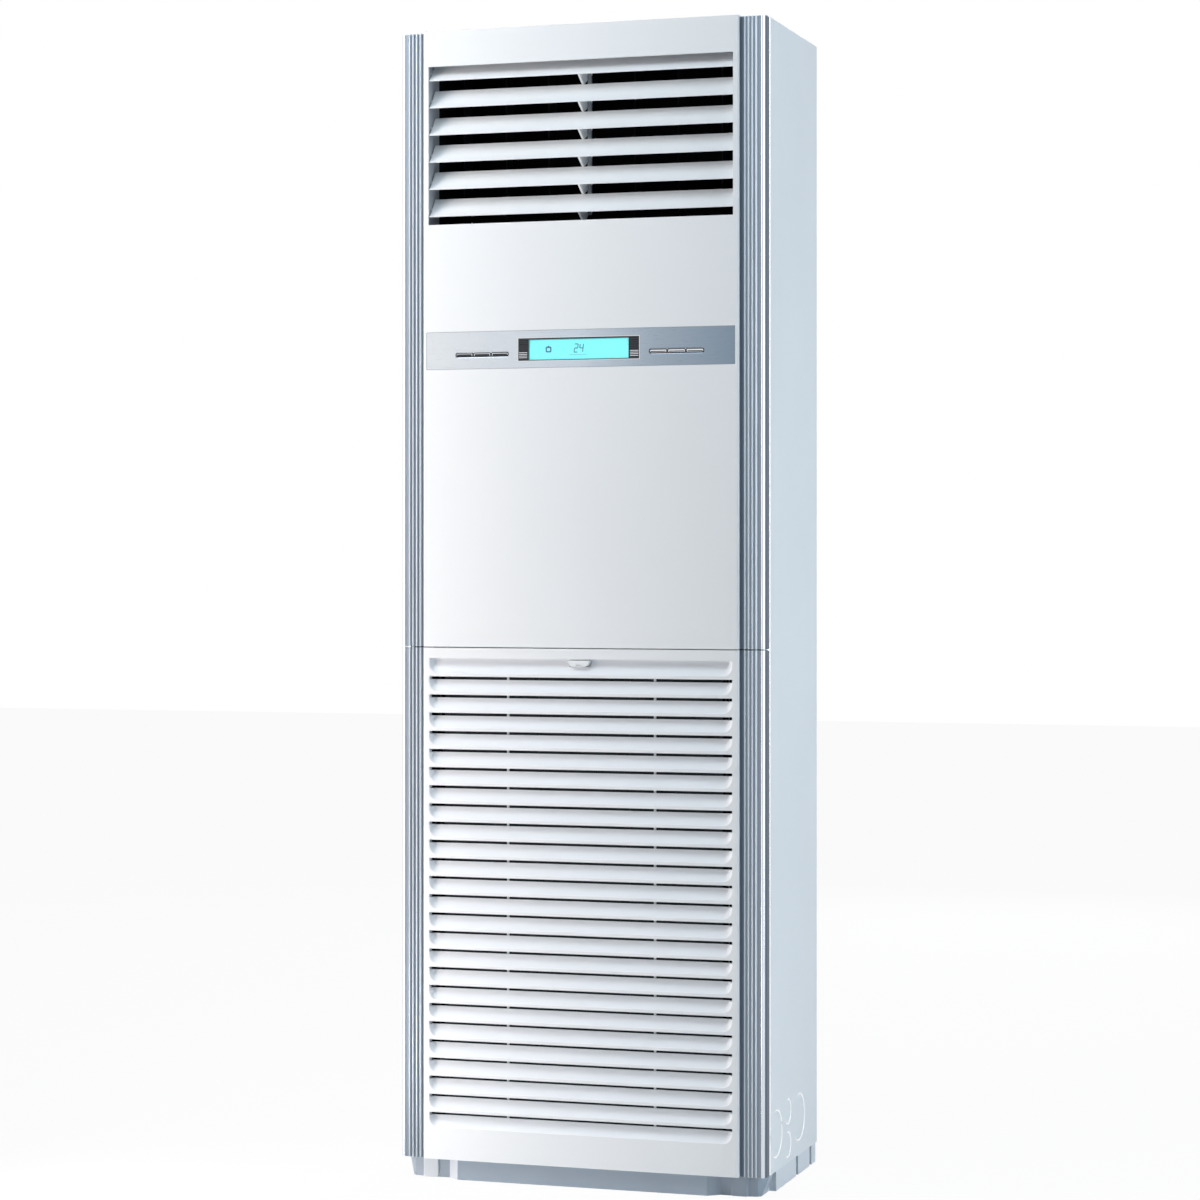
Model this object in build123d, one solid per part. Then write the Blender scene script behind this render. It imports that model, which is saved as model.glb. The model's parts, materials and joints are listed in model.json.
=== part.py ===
from build123d import *
import math
import os

# A floor standing room air conditioner, in millimetres. X runs to the right as seen from the
# front, Y runs back and Z runs up. The origin is on the floor, at the middle of the footprint.
# Places along Y are given as a depth behind the front plane, see at_depth().

# ---- cabinet
WIDTH = 610.0
DEPTH = 340.0
HEIGHT = 1850.0
SHEET = 1.2  # folded and painted steel sheet
FOLD = 14.0  # width of a folded edge
BEND = 2.5  # outer radius of a fold
SCREW_HEAD = 1.6  # how far the rear screws stand out
FIT = 0.3  # gap between pieces that slide or swing past each other
RUNNING = 0.05  # radial clearance of a pin in its bore
SEAM_HEIGHT = 858.0  # parting line between the upper front and the intake grille
SEAM_GAP = 1.6

# ---- moulded base
BASE_HEIGHT = 33.0
BASE_FLOOR = 4.0
BASE_WALL = 4.0
SKIRT_SET_BACK = 12.0  # front of the skirt behind the front plane
SKIRT_CENTRE_INSET = 96.0  # from the side of the cabinet to the end of the skirt's middle
SKIRT_STEP = 14.0  # the corners stand further back than the middle
SKIRT_PAD_INSET = 35.0  # from the side of the cabinet to the shallow pad on each corner
SKIRT_PAD_WIDTH = 23.0
SKIRT_PAD = 2.5
SKIRT_SIDE_INSET = 2.0
SKIRT_ROUNDING = ((16.0, 3.0), (0.0, 18.0))  # corner points, in from the side and back
SKIRT_SIDE_DRAFT = 11.0
SKIRT_NOTCH = 11.0  # depth of the notches in the side skirts
SKIRT_NOTCH_FRONT = (64.0, 80.0)
SKIRT_NOTCH_MIDDLE = (132.0, 119.0)  # this and the next one are measured from the rear
SKIRT_NOTCH_REAR = (43.0, 30.0)
ANCHOR_INSET_X = 55.0
ANCHOR_INSET_Y = 60.0
ANCHOR_HOLE = 5.0  # radius

# ---- corner trims
TRIM_SPAN = 42.0  # width of a trim seen from the front
TRIM_OUTER_DEPTH = 31.5  # where the trim's flank ends
TRIM_SWING_GAP = 1.1  # from there to the side panel, for the lower trims to tip forward
TRIM_FACE = 9.5  # fluted face behind the front plane
TRIM_WALL = 3.0
TRIM_GROOVE_WIDTH = 6.2
TRIM_GROOVE_DEPTH = 2.0
TRIM_RIDGES = 4
TRIM_RIDGE_PITCH = 6.25
TRIM_RIDGE_WIDTH = 3.9
TRIM_RIDGE_RISE = 2.7
TRIM_BEAD_WIDTH = 5.6
TRIM_BEAD_RISE = 2.2
TRIM_FLATS = 4  # flats that round each ridge
TRIM_CORNER = 2.0
TRIM_SHOULDER = 8.0
TRIM_TOP_DROP = 1.5

# ---- upper front panel
PANEL_WALL = 3.0
PANEL_RETURN = 16.0  # depth of the side walls
PANEL_EDGE = 2.2  # rounding of the front edges

# ---- air outlet
OUTLET_SIDE = 8.5  # from the edge of the panel to the opening
OUTLET_TOP_MARGIN = 57.0  # from the top of the cabinet to the opening
OUTLET_HEIGHT = 255.0
DUCT_WALL = 3.0
DUCT_SIDE_GAP = 1.0  # duct wall behind the edge of the opening
DUCT_ABOVE = 18.0
DUCT_BELOW = 5.0
DUCT_FRONT_LENGTH = 49.0
DUCT_REAR_LENGTH = 78.0
GUIDE_FLAT = 60.0  # level part of the air guide behind the duct
GUIDE_DROP = 170.0
GUIDE_REAR_GAP = 26.0
GUIDE_BULGE = (38.0, 45.0)  # middle of the guide's curve, from its rear and its top

LOUVRES = 6
LOUVRE_PITCH = 43.8
LOUVRE_TOP_DROP = 9.4  # from the top of the opening to the pivot of the highest blade
LOUVRE_DEPTH = 17.0
LOUVRE_CHORD = 40.0
LOUVRE_CAMBER = 3.0
LOUVRE_THICKNESS = 3.0
LOUVRE_TILT = 49.0
LOUVRE_END_GAP = 1.0
PIN = 2.0  # radius of the pivots
PIN_SIDES = 6  # faces round each small pivot and its bearing
LINK_ARM_BACK = 32.0  # link pin behind the blade pivot
LINK_ARM_DOWN = 8.0
EAR_THICKNESS = 3.0
EAR_TAIL = ((6.5, 0.5), (4.0, -4.5), (-7.0, -12.5))  # corners of the ear round the link pin
EAR_FOOT = (11.0, -26.5)  # lowest corner of the ear, from the blade pivot
LINK_GAP = 0.4
LINK_WIDTH = 6.0
LINK_DEPTH = 6.0
LINK_END = 5.5

VANES = 7
VANE_DEPTH = 88.0  # pivot line
VANE_FRONT = 20.0
VANE_REAR = 18.0
VANE_NOTCH_REAR = 10.0
VANE_THICKNESS = 2.0
VANE_END_GAP = 1.5
VANE_ARM = 24.0
VANE_LINK_ABOVE_FLOOR = 20.0
VANE_LINK_HEIGHT = 4.0
VANE_LINK_DEPTH = 9.0
FINGER_HEIGHT = 4.0
FINGER_WIDTH = 6.0
MOTOR_VANE = 5  # the vane, counted from 0, that the swing motor turns
SWING_MOTOR_RADIUS = 22.0
SWING_MOTOR_HEIGHT = 18.0
SPINDLE = 8.0  # engagement of the vane in the motor
SWING_EAR = 10.0  # reach of the motor's fixing ears
SWING_EAR_WIDTH = 14.0
SWING_GEAR_WIDTH = 18.0
SWING_GEAR_HEIGHT = 14.0
SWING_GEAR_REACH = 6.0

# ---- control strip
STRIP_SIDE = 5.0  # from the edge of the panel to the strip
STRIP_DROP = 545.5  # from the top of the cabinet to the strip's lower edge
STRIP_HEIGHT = 60.5
STRIP_RECESS = 1.6
STRIP_FRONT = 0.2
BEZEL_WIDTH = 202.0
BEZEL_ABOVE_STRIP_EDGE = 11.8
BEZEL_HEIGHT = 35.9
BEZEL_THICKNESS = 4.8
LENS_WIDTH = 167.0
LENS_SILL = 1.2  # bezel under the window
LENS_HEIGHT = 32.3
LENS_SET_BACK = 0.8
LENS_THICKNESS = 1.8
BEZEL_RIBS = 11
BEZEL_RIB_DEPTH = 1.0
BEZEL_RIB_SHARE = 0.3  # half the width of a groove, as a share of the pitch
BEZEL_RIB_MARGIN = 1.0
LCD_MARGIN = 5.0
BUTTONS_PER_GROUP = 3
BUTTON_GROUP_INNER = 117.0
BUTTON_PITCH = 30.3
BUTTON_HEIGHT = 9.0
BUTTON_ABOVE_STRIP_EDGE = 23.0  # from the strip's lower edge to the buttons' middle
BUTTON_GAP = 0.5
BUTTON_END = 0.3  # share of the height taken by each corner of a group's ends
BUTTON_CROWN = 1.3
BUTTON_FLANGE = 1.2
BUTTON_TRAVEL = 1.0
BOARD_WIDTH = 444.0
BOARD_HEIGHT = 54.0
BOARD_THICKNESS = 1.6
BOARD_DEPTH = 13.0
BOARD_POST = 3.5
BOARD_POST_INSET = 6.0
# left edge of each chip as a share of the board's width, then its width and height
BOARD_CHIPS = ((-0.27, 40.0, 12.0), (0.045, 26.0, 26.0), (0.25, 60.0, 9.0))
CHIP_THICKNESS = 3.0
SWITCH_SIDE = 6.0
BUTTON_STEM = 4.0
BUTTON_FLANGE_REACH = 1.2
SWITCH_HEIGHT = 2.7

# ---- intake grille
GRILLE_BOTTOM_GAP = 0.6
GRILLE_SIDE = 10.0  # from the edge of the grille to the slots
GRILLE_SLOTS = 25
GRILLE_SLOT_DROP = 17.7  # from the parting line to the blind groove above the slots
GRILLE_LOWEST_SLOT = 109.05  # upper edge of the lowest slot
GRILLE_SLOT_HEIGHT = 5.0
GRILLE_LAND = 5.25  # flat between one pocket and the next
GRILLE_SCOOP_DEPTH = 9.5
GRILLE_SCOOP_HOLLOW = 1.6  # how far the ramp curves in
GRILLE_CORNER = 16.0
GRILLE_CORNER_FLATS = 2  # flats that round each lower corner of a pocket
GRILLE_END_DRAFT = 38.0
GRILLE_THICKNESS = 12.5
GRILLE_BLADE = 2.8
GRILLE_RIB_X = 123.0
GRILLE_RIB = 3.0
GRILLE_BAR = 4.0
GRILLE_PLATE_MARGIN = 3.0
HINGE_DEPTH = 8.0
HINGE_HEIGHT = 40.5
HINGE_INSET = 29.0  # from the end of the skirt's middle
HINGE_LUG_WIDTH = 8.0
HINGE_LUG_RADIUS = 4.5
HINGE_RIB = 2.0
HINGE_RIB_ABOVE = 8.0
LATCH_WIDTH = 36.0
LATCH_HEIGHT = 10.0
LATCH_LENGTH = 15.0
LATCH_SET_BACK = 0.6
LATCH_CORNER = 8.0
LATCH_CORNER_POINT = (0.4, 0.25)  # middle point of the corner, as shares of its size
LATCH_DROP = 1.5  # below the top of the blind groove
LATCH_COLLAR = (4.0, 2.0)
LATCH_RECESS = (1.2, 2.0, 2.4)  # height above the lower edge, height and depth
LATCH_SLOT = 7.0

# ---- air filter, in rails behind the grille
FILTER_SIDE = 25.0  # from the edge of the grille to the filter
FILTER_BOTTOM = 98.0
FILTER_DROP = 18.0  # from the parting line to the top of the filter
FILTER_DEPTH = 20.5
FILTER_THICKNESS = 3.5
FILTER_FRAME = 12.0
FILTER_NET = 0.8
FILTER_RIBS = 3
RAIL_WALL = 2.0
RAIL_LIP = 5.0
RAIL_STOP = 20.0
RAIL_TOP_DROP = 6.0

# ---- fan
FAN_HEIGHT = 400.0  # height of the shaft
SCROLL_START = 190.0
SCROLL_STEP = 26.0
SCROLL_FRONT = 125.0
MOTOR_SPACE = 55.0  # from the rear of the housing to the rear of the cabinet
SCROLL_THROAT_X = 34.0
SCROLL_TONGUE = 42.0
SCROLL_HOLE_GAP = 4.0
FOOT_X = 120.0
FOOT_WIDTH = 24.0
FOOT_RISE = 36.0
WHEEL_RADIUS = 165.0
WHEEL_INNER = 136.0
WHEEL_SPARE = 38.0  # the wheel is this much narrower than its housing
WHEEL_GAP = 10.0
WHEEL_DISC = 2.0
WHEEL_RIM = 3.0
WHEEL_RING = 5.0
WHEEL_SWEEP = 5.0  # degrees that a blade runs forward
WHEEL_BLADES = 18
WHEEL_BLADE = 1.4
HUB_RADIUS = 22.0
HUB_GAP = 4.0
HUB_LENGTH = 46.0
SHAFT_RADIUS = 6.35
SHAFT_NOSE = 14.0
MOTOR_BORE = 39.0
INLET_THROAT = 130.0
INLET_FLANGE = 168.0
INLET_SHEET = 1.5
INLET_DEPTH = 20.0
MOTOR_RADIUS = 68.0
MOTOR_LENGTH = 45.0
MOTOR_FLANGE = 84.0
MOTOR_FLANGE_SHEET = 3.0

# ---- heat exchanger
PARTITION_HEIGHT = 898.0
PARTITION_FRONT = 45.0
COIL_SIDE = 70.0  # from the side of the cabinet to the fins
COIL_THICKNESS = 50.0
COIL_REAR_GAP = 72.2  # from the middle of the coil's upper end to the rear sheet
COIL_TOP_GAP = 157.2  # from the coil's upper end to the air guide
COIL_DEPTH = 92.0
COIL_ABOVE_PARTITION = 52.0
COIL_FINS = 9  # groups of fins across the coil
FIN_GAP = 4.0
FIN_CUT = 6.0
FIN_END = 4.0
TUBE_RADIUS = 4.8
TUBE_BENDS = 4
TUBE_START = 70.0
TUBE_END = 90.0
BEND_RADIUS = 12.5
TUBE_SIDES = 8  # faces round the pipes and the hose
COIL_PLATE = 1.5
COIL_MARGIN = 4.0
COIL_FOOT = (14.0, 22.0)  # reach of each foot before and behind the coil's lower end
COIL_FOOT_TOE = 16.0
COIL_FOOT_LAP = 12.0
PAN_FRONT = 60.0
PAN_REAR = 121.0
PAN_HEIGHT = 34.0
PAN_WALL = 2.0
PAN_SIDE_GAP = 2.0
SPOUT_HEIGHT = 10.0
PIPE_INSET = 31.0  # from the side of the cabinet
GAS_PIPE_RADIUS = 7.9
LIQUID_PIPE_RADIUS = 4.8
PIPE_END = 190.0
PIPE_BEND = 18.0
NUT_RIM = 5.0
NUT_HEIGHT = 16.0
HOSE_RADIUS = 8.0
HOSE_WALL = 1.5
HOSE_INSET = 17.0
HOSE_RISE = 20.0  # top of the hose above the shelf
HOSE_END = 60.0

# ---- electric box
BOX_LEFT = -60.0
BOX_SIDE = 50.0  # from the right side of the cabinet
BOX_FRONT = 45.0
BOX_REAR = 112.0
BOX_HEIGHT = 160.0
CAPACITOR_RADIUS = 20.0
CAPACITOR_LENGTH = 70.0
CAPACITOR_INSET = 60.0
CAPACITOR_STUD = (5.0, 8.0)  # radius and height
COVER_SLOTS = 4
COVER_SLOT_PITCH = 12.0
COVER_SLOT_HEIGHT = 4.0
COVER_SLOT_ABOVE = 30.0
COVER_SLOT_ENDS = (90.0, 20.0)  # from the right side of the box
TERMINALS = 6
TERMINAL_PITCH = 14.0
TERMINAL_HEIGHT = 24.0
TERMINAL_WALL = 3.0
TERMINAL_INSET = 20.0
TERMINAL_ABOVE = 20.0
TERMINAL_TALL = 30.0
TERMINAL_BAY_DEPTH = 10.0

# ---- side panels and rear
BRACKET_INSET = 105.0  # of the wall strap holes, from the side of the cabinet
BRACKET_DROP = 60.0
BRACKET_HOLE = 3.5
SCREW_RADIUS = 4.6
SCREW_ROWS = 4
SCREW_EDGE = 8.0
SCREW_END = 40.0

# ---- places that follow from the sizes above
HALF = WIDTH / 2
REAR = DEPTH - SCREW_HEAD  # depth of the rear sheet's outer face
REAR_INNER = REAR - SHEET
COVER_UNDERSIDE = HEIGHT - SHEET
UPPER_BOTTOM = SEAM_HEIGHT + SEAM_GAP / 2
GRILLE_TOP = SEAM_HEIGHT - SEAM_GAP / 2
GRILLE_BOTTOM = BASE_HEIGHT + GRILLE_BOTTOM_GAP
SKIRT_SIDE_HALF = HALF - SKIRT_SIDE_INSET
SKIRT_CENTRE_HALF = HALF - SKIRT_CENTRE_INSET
SKIRT_PAD_OUTER = HALF - SKIRT_PAD_INSET
SKIRT_PAD_INNER = SKIRT_PAD_OUTER - SKIRT_PAD_WIDTH
SKIRT_NOTCHES = [SKIRT_NOTCH_FRONT] + [
    (DEPTH - start, DEPTH - end) for start, end in (SKIRT_NOTCH_MIDDLE, SKIRT_NOTCH_REAR)
]
ANCHOR_SPACING_X = WIDTH - 2 * ANCHOR_INSET_X
ANCHOR_SPACING_Y = DEPTH - 2 * ANCHOR_INSET_Y
HINGE_X = SKIRT_CENTRE_HALF - HINGE_INSET
PANEL_WIDTH = WIDTH - 2 * TRIM_SPAN
OUTLET_WIDTH = PANEL_WIDTH - 2 * OUTLET_SIDE
OUTLET_BOTTOM = HEIGHT - OUTLET_TOP_MARGIN - OUTLET_HEIGHT
STRIP_WIDTH = PANEL_WIDTH - 2 * STRIP_SIDE
STRIP_BOTTOM = HEIGHT - STRIP_DROP
BEZEL_BOTTOM = STRIP_BOTTOM + BEZEL_ABOVE_STRIP_EDGE
LENS_BOTTOM = BEZEL_BOTTOM + LENS_SILL
BUTTON_CENTRE = STRIP_BOTTOM + BUTTON_ABOVE_STRIP_EDGE
GRILLE_ZONE_WIDTH = PANEL_WIDTH - 2 * GRILLE_SIDE
GRILLE_SLOT_TOP = SEAM_HEIGHT - GRILLE_SLOT_DROP
GRILLE_PITCH = (GRILLE_SLOT_TOP - GRILLE_LOWEST_SLOT) / GRILLE_SLOTS
GRILLE_SCOOP_HEIGHT = GRILLE_PITCH - GRILLE_LAND
FILTER_WIDTH = PANEL_WIDTH - 2 * FILTER_SIDE
FILTER_HEIGHT = SEAM_HEIGHT - FILTER_DROP - FILTER_BOTTOM
DUCT_HALF = OUTLET_WIDTH / 2 + DUCT_SIDE_GAP
DUCT_FLOOR = OUTLET_BOTTOM - DUCT_BELOW
DUCT_CEILING = OUTLET_BOTTOM + OUTLET_HEIGHT + DUCT_ABOVE
DUCT_SPLIT = PANEL_WALL + DUCT_FRONT_LENGTH
DUCT_END = DUCT_SPLIT + DUCT_REAR_LENGTH
LOUVRE_HALF = OUTLET_WIDTH / 2 - LOUVRE_END_GAP
LOUVRE_TOP = OUTLET_BOTTOM + OUTLET_HEIGHT - LOUVRE_TOP_DROP
VANE_PITCH = OUTLET_WIDTH / VANES
VANE_LINK_BOTTOM = DUCT_FLOOR + VANE_LINK_ABOVE_FLOOR
VANE_LINK_TOP = VANE_LINK_BOTTOM + VANE_LINK_HEIGHT
BUTTON_BACK = PANEL_WALL + FIT + BUTTON_FLANGE
SCROLL_REAR = DEPTH - MOTOR_SPACE
SCROLL_WIDTH = SCROLL_REAR - SCROLL_FRONT
WHEEL_WIDTH = SCROLL_WIDTH - WHEEL_SPARE
WHEEL_FRONT = SCROLL_REAR - SHEET - WHEEL_GAP - WHEEL_WIDTH
WHEEL_REAR = WHEEL_FRONT + WHEEL_WIDTH
PARTITION_TOP = PARTITION_HEIGHT + SHEET
GUIDE_BOTTOM = DUCT_CEILING - GUIDE_DROP
COIL_BOTTOM = PARTITION_TOP + COIL_ABOVE_PARTITION
COIL_RISE = GUIDE_BOTTOM - COIL_TOP_GAP - COIL_BOTTOM
COIL_RUN = REAR_INNER - COIL_REAR_GAP - COIL_DEPTH
COIL_LENGTH = math.hypot(COIL_RISE, COIL_RUN)
COIL_LEAN = math.degrees(math.atan2(COIL_RUN, COIL_RISE))
COIL_WIDTH = WIDTH - 2 * COIL_SIDE
TUBE_PITCH = (COIL_LENGTH - TUBE_START - TUBE_END) / (2 * TUBE_BENDS)
GAS_PIPE_ALONG = TUBE_START + TUBE_PITCH  # up the coil, between two bends
LIQUID_PIPE_ALONG = TUBE_START + 3 * TUBE_PITCH
PIPE_X = HALF - PIPE_INSET
HOSE_X = HALF - HOSE_INSET
BOX_RIGHT = HALF - BOX_SIDE
BRACKET_SPACING = WIDTH - 2 * BRACKET_INSET
BRACKET_HEIGHT = HEIGHT - BRACKET_DROP


def at_depth(depth):
    """Y of a point this far behind the front plane."""
    return depth - DEPTH / 2


def block(x0, x1, d0, d1, z0, z1):
    """A box between two X, two depths and two heights."""
    middle = Pos((x0 + x1) / 2, at_depth((d0 + d1) / 2), (z0 + z1) / 2)
    return middle * Box(abs(x1 - x0), abs(d1 - d0), abs(z1 - z0))


def rod_x(x0, x1, depth, z, radius):
    """A round bar along X."""
    return Pos((x0 + x1) / 2, at_depth(depth), z) * Rot(0, 90, 0) * Cylinder(radius, abs(x1 - x0))


def rod_y(x, d0, d1, z, radius):
    """A round bar from front to rear."""
    return Pos(x, at_depth((d0 + d1) / 2), z) * Rot(90, 0, 0) * Cylinder(radius, abs(d1 - d0))


def peg(centre, direction, length, radius, bearing=False, sides=PIN_SIDES):
    """A many-sided pin whose corners lie on its radius, or a bearing whose faces touch it."""
    across = (0, 0, 1) if direction[2] == 0 else (1, 0, 0)
    plane = Plane(origin=centre, x_dir=across, z_dir=direction)
    return extrude(plane * RegularPolygon(radius, sides, major_radius=not bearing), amount=length)


def rounded_side(centre, direction, length, radius=PIN):
    """Round crown on one flat of a pin, the side that it bears on."""
    across = (0, 0, 1) if direction[2] == 0 else (1, 0, 0)
    plane = Plane(origin=centre, x_dir=across, z_dir=direction)

    def on_circle(angle):
        return (radius * math.cos(angle), radius * math.sin(angle))

    half = math.pi / PIN_SIDES
    start, middle, end = (on_circle(math.pi + step * half) for step in range(3))
    edges = [ThreePointArc(start, middle, end), Line(end, start)]
    return extrude(plane * make_face(edges), amount=length)


def peg_x(x0, x1, depth, z, radius, bearing=False):
    start = min(x0, x1)
    return peg((start, at_depth(depth), z), (1, 0, 0), abs(x1 - x0), radius, bearing)


def peg_z(x, depth, z0, z1, radius, bearing=False, sides=PIN_SIDES):
    return peg((x, at_depth(depth), z0), (0, 0, 1), z1 - z0, radius, bearing, sides)


def side_profile(points, x0, x1):
    """A profile of (depth, height) points, pulled along X."""
    line = Polyline(*[(x0, at_depth(d), z) for d, z in points], close=True)
    return extrude(make_face(line), amount=x1 - x0, dir=(1, 0, 0))


def front_profile(points, d0, d1):
    """A profile of (x, height) points, pulled back from one depth to another."""
    line = Polyline(*[(x, at_depth(d0), z) for x, z in points], close=True)
    return extrude(make_face(line), amount=d1 - d0, dir=(0, 1, 0))


def plan_profile(points, z0, z1, radii=None):
    """A plan outline of (x, depth) points, pulled up from one height to another."""
    corners = [(x, at_depth(d), z0) for x, d in points]
    if radii:
        line = FilletPolyline(*corners, radius=radii, close=True)
    else:
        line = Polyline(*corners, close=True)
    return extrude(make_face(line), amount=z1 - z0, dir=(0, 0, 1))


def mirrored(shape):
    return mirror(shape, about=Plane.YZ)


def both_sides(shape):
    return shape + mirrored(shape)


# ------------------------------------------------------------------ cabinet


def skirt_outline():
    """Right half of the skirt in plan, from the middle of the front to the middle of the rear."""
    corner_depth = SKIRT_SET_BACK + SKIRT_STEP
    pad_depth = corner_depth - SKIRT_PAD
    points = [
        (0, SKIRT_SET_BACK),
        (SKIRT_CENTRE_HALF, SKIRT_SET_BACK),
        (SKIRT_CENTRE_HALF + SKIRT_STEP * 1.3, corner_depth),
        (SKIRT_PAD_INNER - SKIRT_PAD, corner_depth),
        (SKIRT_PAD_INNER, pad_depth),
        (SKIRT_PAD_OUTER, pad_depth),
        (SKIRT_PAD_OUTER + SKIRT_PAD, corner_depth),
    ]
    points += [(SKIRT_SIDE_HALF - x, corner_depth + depth) for x, depth in SKIRT_ROUNDING]
    for start, end in SKIRT_NOTCHES:
        points += [
            (SKIRT_SIDE_HALF, start),
            (SKIRT_SIDE_HALF - SKIRT_NOTCH, start + 2),
            (SKIRT_SIDE_HALF - SKIRT_NOTCH, end),
            (SKIRT_SIDE_HALF, end),
        ]
    points += [(SKIRT_SIDE_HALF, REAR_INNER), (0, REAR_INNER)]
    return points


def hinge_lug(x):
    """Lug on the base that carries one hinge pin of the grille."""
    half = HINGE_LUG_WIDTH / 2
    ring = peg_x(x - half, x + half, HINGE_DEPTH, HINGE_HEIGHT, HINGE_LUG_RADIUS)
    back = HINGE_DEPTH + HINGE_LUG_RADIUS
    stem = side_profile(
        [
            (HINGE_DEPTH, HINGE_HEIGHT),
            (HINGE_DEPTH + 1.5, BASE_HEIGHT + 2),
            (SKIRT_SET_BACK, BASE_HEIGHT - 3),
            (back + BASE_WALL - 1, BASE_HEIGHT - 3),
            (back, HINGE_HEIGHT),
        ],
        x - half,
        x + half,
    )
    bore = peg_x(x - half, x + half, HINGE_DEPTH, HINGE_HEIGHT, PIN + RUNNING, bearing=True)
    return ring + stem - bore


def base_tray():
    half = plan_profile(skirt_outline(), 0, BASE_HEIGHT)
    draft = front_profile(
        [
            (SKIRT_SIDE_HALF + 1, -1),
            (SKIRT_SIDE_HALF - SKIRT_SIDE_DRAFT, -1),
            (SKIRT_SIDE_HALF - SKIRT_SIDE_DRAFT, 0),
            (SKIRT_SIDE_HALF, BASE_HEIGHT),
            (SKIRT_SIDE_HALF + 1, BASE_HEIGHT),
        ],
        0,
        (SKIRT_NOTCHES[0][0] + SKIRT_NOTCHES[0][1]) / 2,
    )
    tray = both_sides(half - draft)
    inside = SKIRT_SIDE_HALF - SKIRT_NOTCH - BASE_WALL
    front = SKIRT_SET_BACK + SKIRT_STEP + BASE_WALL
    tray -= block(-inside, inside, front + 3, REAR_INNER - BASE_WALL, BASE_FLOOR, BASE_HEIGHT + 1)
    centre = SKIRT_CENTRE_HALF - BASE_WALL
    tray -= block(-centre, centre, SKIRT_SET_BACK + BASE_WALL, front + 4, BASE_FLOOR, BASE_HEIGHT + 1)
    for x in (-1, 1):
        for y in (-1, 1):
            place = Pos(x * ANCHOR_SPACING_X / 2, y * ANCHOR_SPACING_Y / 2, BASE_FLOOR / 2)
            tray -= place * Cylinder(ANCHOR_HOLE, BASE_FLOOR + 1)
        tray += hinge_lug(x * HINGE_X)
    return tray


def side_panel():
    """Right side panel, with a folded front edge."""
    start = TRIM_OUTER_DEPTH + TRIM_SWING_GAP
    return plan_profile(
        [
            (HALF - FOLD, start),
            (HALF, start),
            (HALF, REAR_INNER),
            (HALF - SHEET, REAR_INNER),
            (HALF - SHEET, start + SHEET),
            (HALF - FOLD, start + SHEET),
        ],
        BASE_HEIGHT,
        COVER_UNDERSIDE,
        radii=[0, BEND, 0, 0, BEND - SHEET, 0],
    )


def rear_panel():
    """Rear sheet with a flange inside each side panel and two holes for a wall strap."""
    inner = HALF - SHEET
    sheet = block(-HALF, HALF, REAR_INNER, REAR, BASE_HEIGHT, COVER_UNDERSIDE)
    flange = block(inner - SHEET, inner, REAR_INNER - FOLD, REAR_INNER, BASE_HEIGHT, COVER_UNDERSIDE)
    sheet += both_sides(flange)
    for x in (-BRACKET_SPACING / 2, BRACKET_SPACING / 2):
        sheet -= rod_y(x, REAR_INNER - 1, REAR + 1, BRACKET_HEIGHT, BRACKET_HOLE)
    return sheet


def top_cover():
    inner = HALF - SHEET - SHEET
    cover = block(-HALF, HALF, PANEL_RETURN, REAR, COVER_UNDERSIDE, HEIGHT)
    front = PANEL_RETURN + SHEET
    reach = PANEL_WIDTH / 2 - PANEL_WALL
    cover += block(-reach, reach, PANEL_RETURN, front, COVER_UNDERSIDE - FOLD, COVER_UNDERSIDE)
    rear = REAR_INNER - SHEET
    return cover + block(-inner, inner, rear, REAR_INNER, COVER_UNDERSIDE - FOLD, COVER_UNDERSIDE)


def screws():
    """Hexagonal heads along both edges of the rear sheet."""
    rise = (COVER_UNDERSIDE - BASE_HEIGHT - 2 * SCREW_END) / (SCREW_ROWS - 1)
    heads = []
    for x in (-1, 1):
        for row in range(SCREW_ROWS):
            centre = (x * (HALF - SCREW_EDGE), at_depth(REAR), BASE_HEIGHT + SCREW_END + row * rise)
            heads.append(peg(centre, (0, 1, 0), SCREW_HEAD, SCREW_RADIUS))
    return heads


# ------------------------------------------------------------------ corner trims


def crown(x0, x1, start, end, rise):
    """Points of a rounded ridge between two X, in plan, from one depth to another."""
    points = []
    for step in range(TRIM_FLATS + 1):
        angle = math.pi * step / TRIM_FLATS
        along = (1 - math.cos(angle)) / 2
        depth = start + (end - start) * along - rise * math.sin(angle)
        points.append((x0 + (x1 - x0) * along, depth))
    return points


def trim_profile(z0):
    """Plan section of the right trim: groove, ridges, bead and a flank round the corner."""
    inner = PANEL_WIDTH / 2
    groove = TRIM_FACE + TRIM_GROOVE_DEPTH
    points = [(inner, groove), (inner + TRIM_GROOVE_WIDTH, groove)]
    for ridge in range(TRIM_RIDGES):
        x = inner + TRIM_GROOVE_WIDTH + ridge * TRIM_RIDGE_PITCH
        points += crown(x, x + TRIM_RIDGE_WIDTH, TRIM_FACE, TRIM_FACE, TRIM_RIDGE_RISE)
    outer = HALF - TRIM_CORNER
    points += crown(outer - TRIM_BEAD_WIDTH, outer, TRIM_FACE, TRIM_FACE + TRIM_CORNER, TRIM_BEAD_RISE)
    shoulder = TRIM_FACE + TRIM_SHOULDER
    wall = HALF - TRIM_WALL
    back = groove + TRIM_WALL
    points += [
        (HALF, shoulder),
        (HALF, TRIM_OUTER_DEPTH),
        (wall, TRIM_OUTER_DEPTH),
        (wall, shoulder),
        (wall - TRIM_CORNER, back),
        (inner, back),
    ]
    return make_face(Polyline(*[(x, at_depth(d), z0) for x, d in points], close=True))


def trim(z0, z1):
    return extrude(trim_profile(z0), amount=z1 - z0, dir=(0, 0, 1))


# ------------------------------------------------------------------ upper front panel


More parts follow.
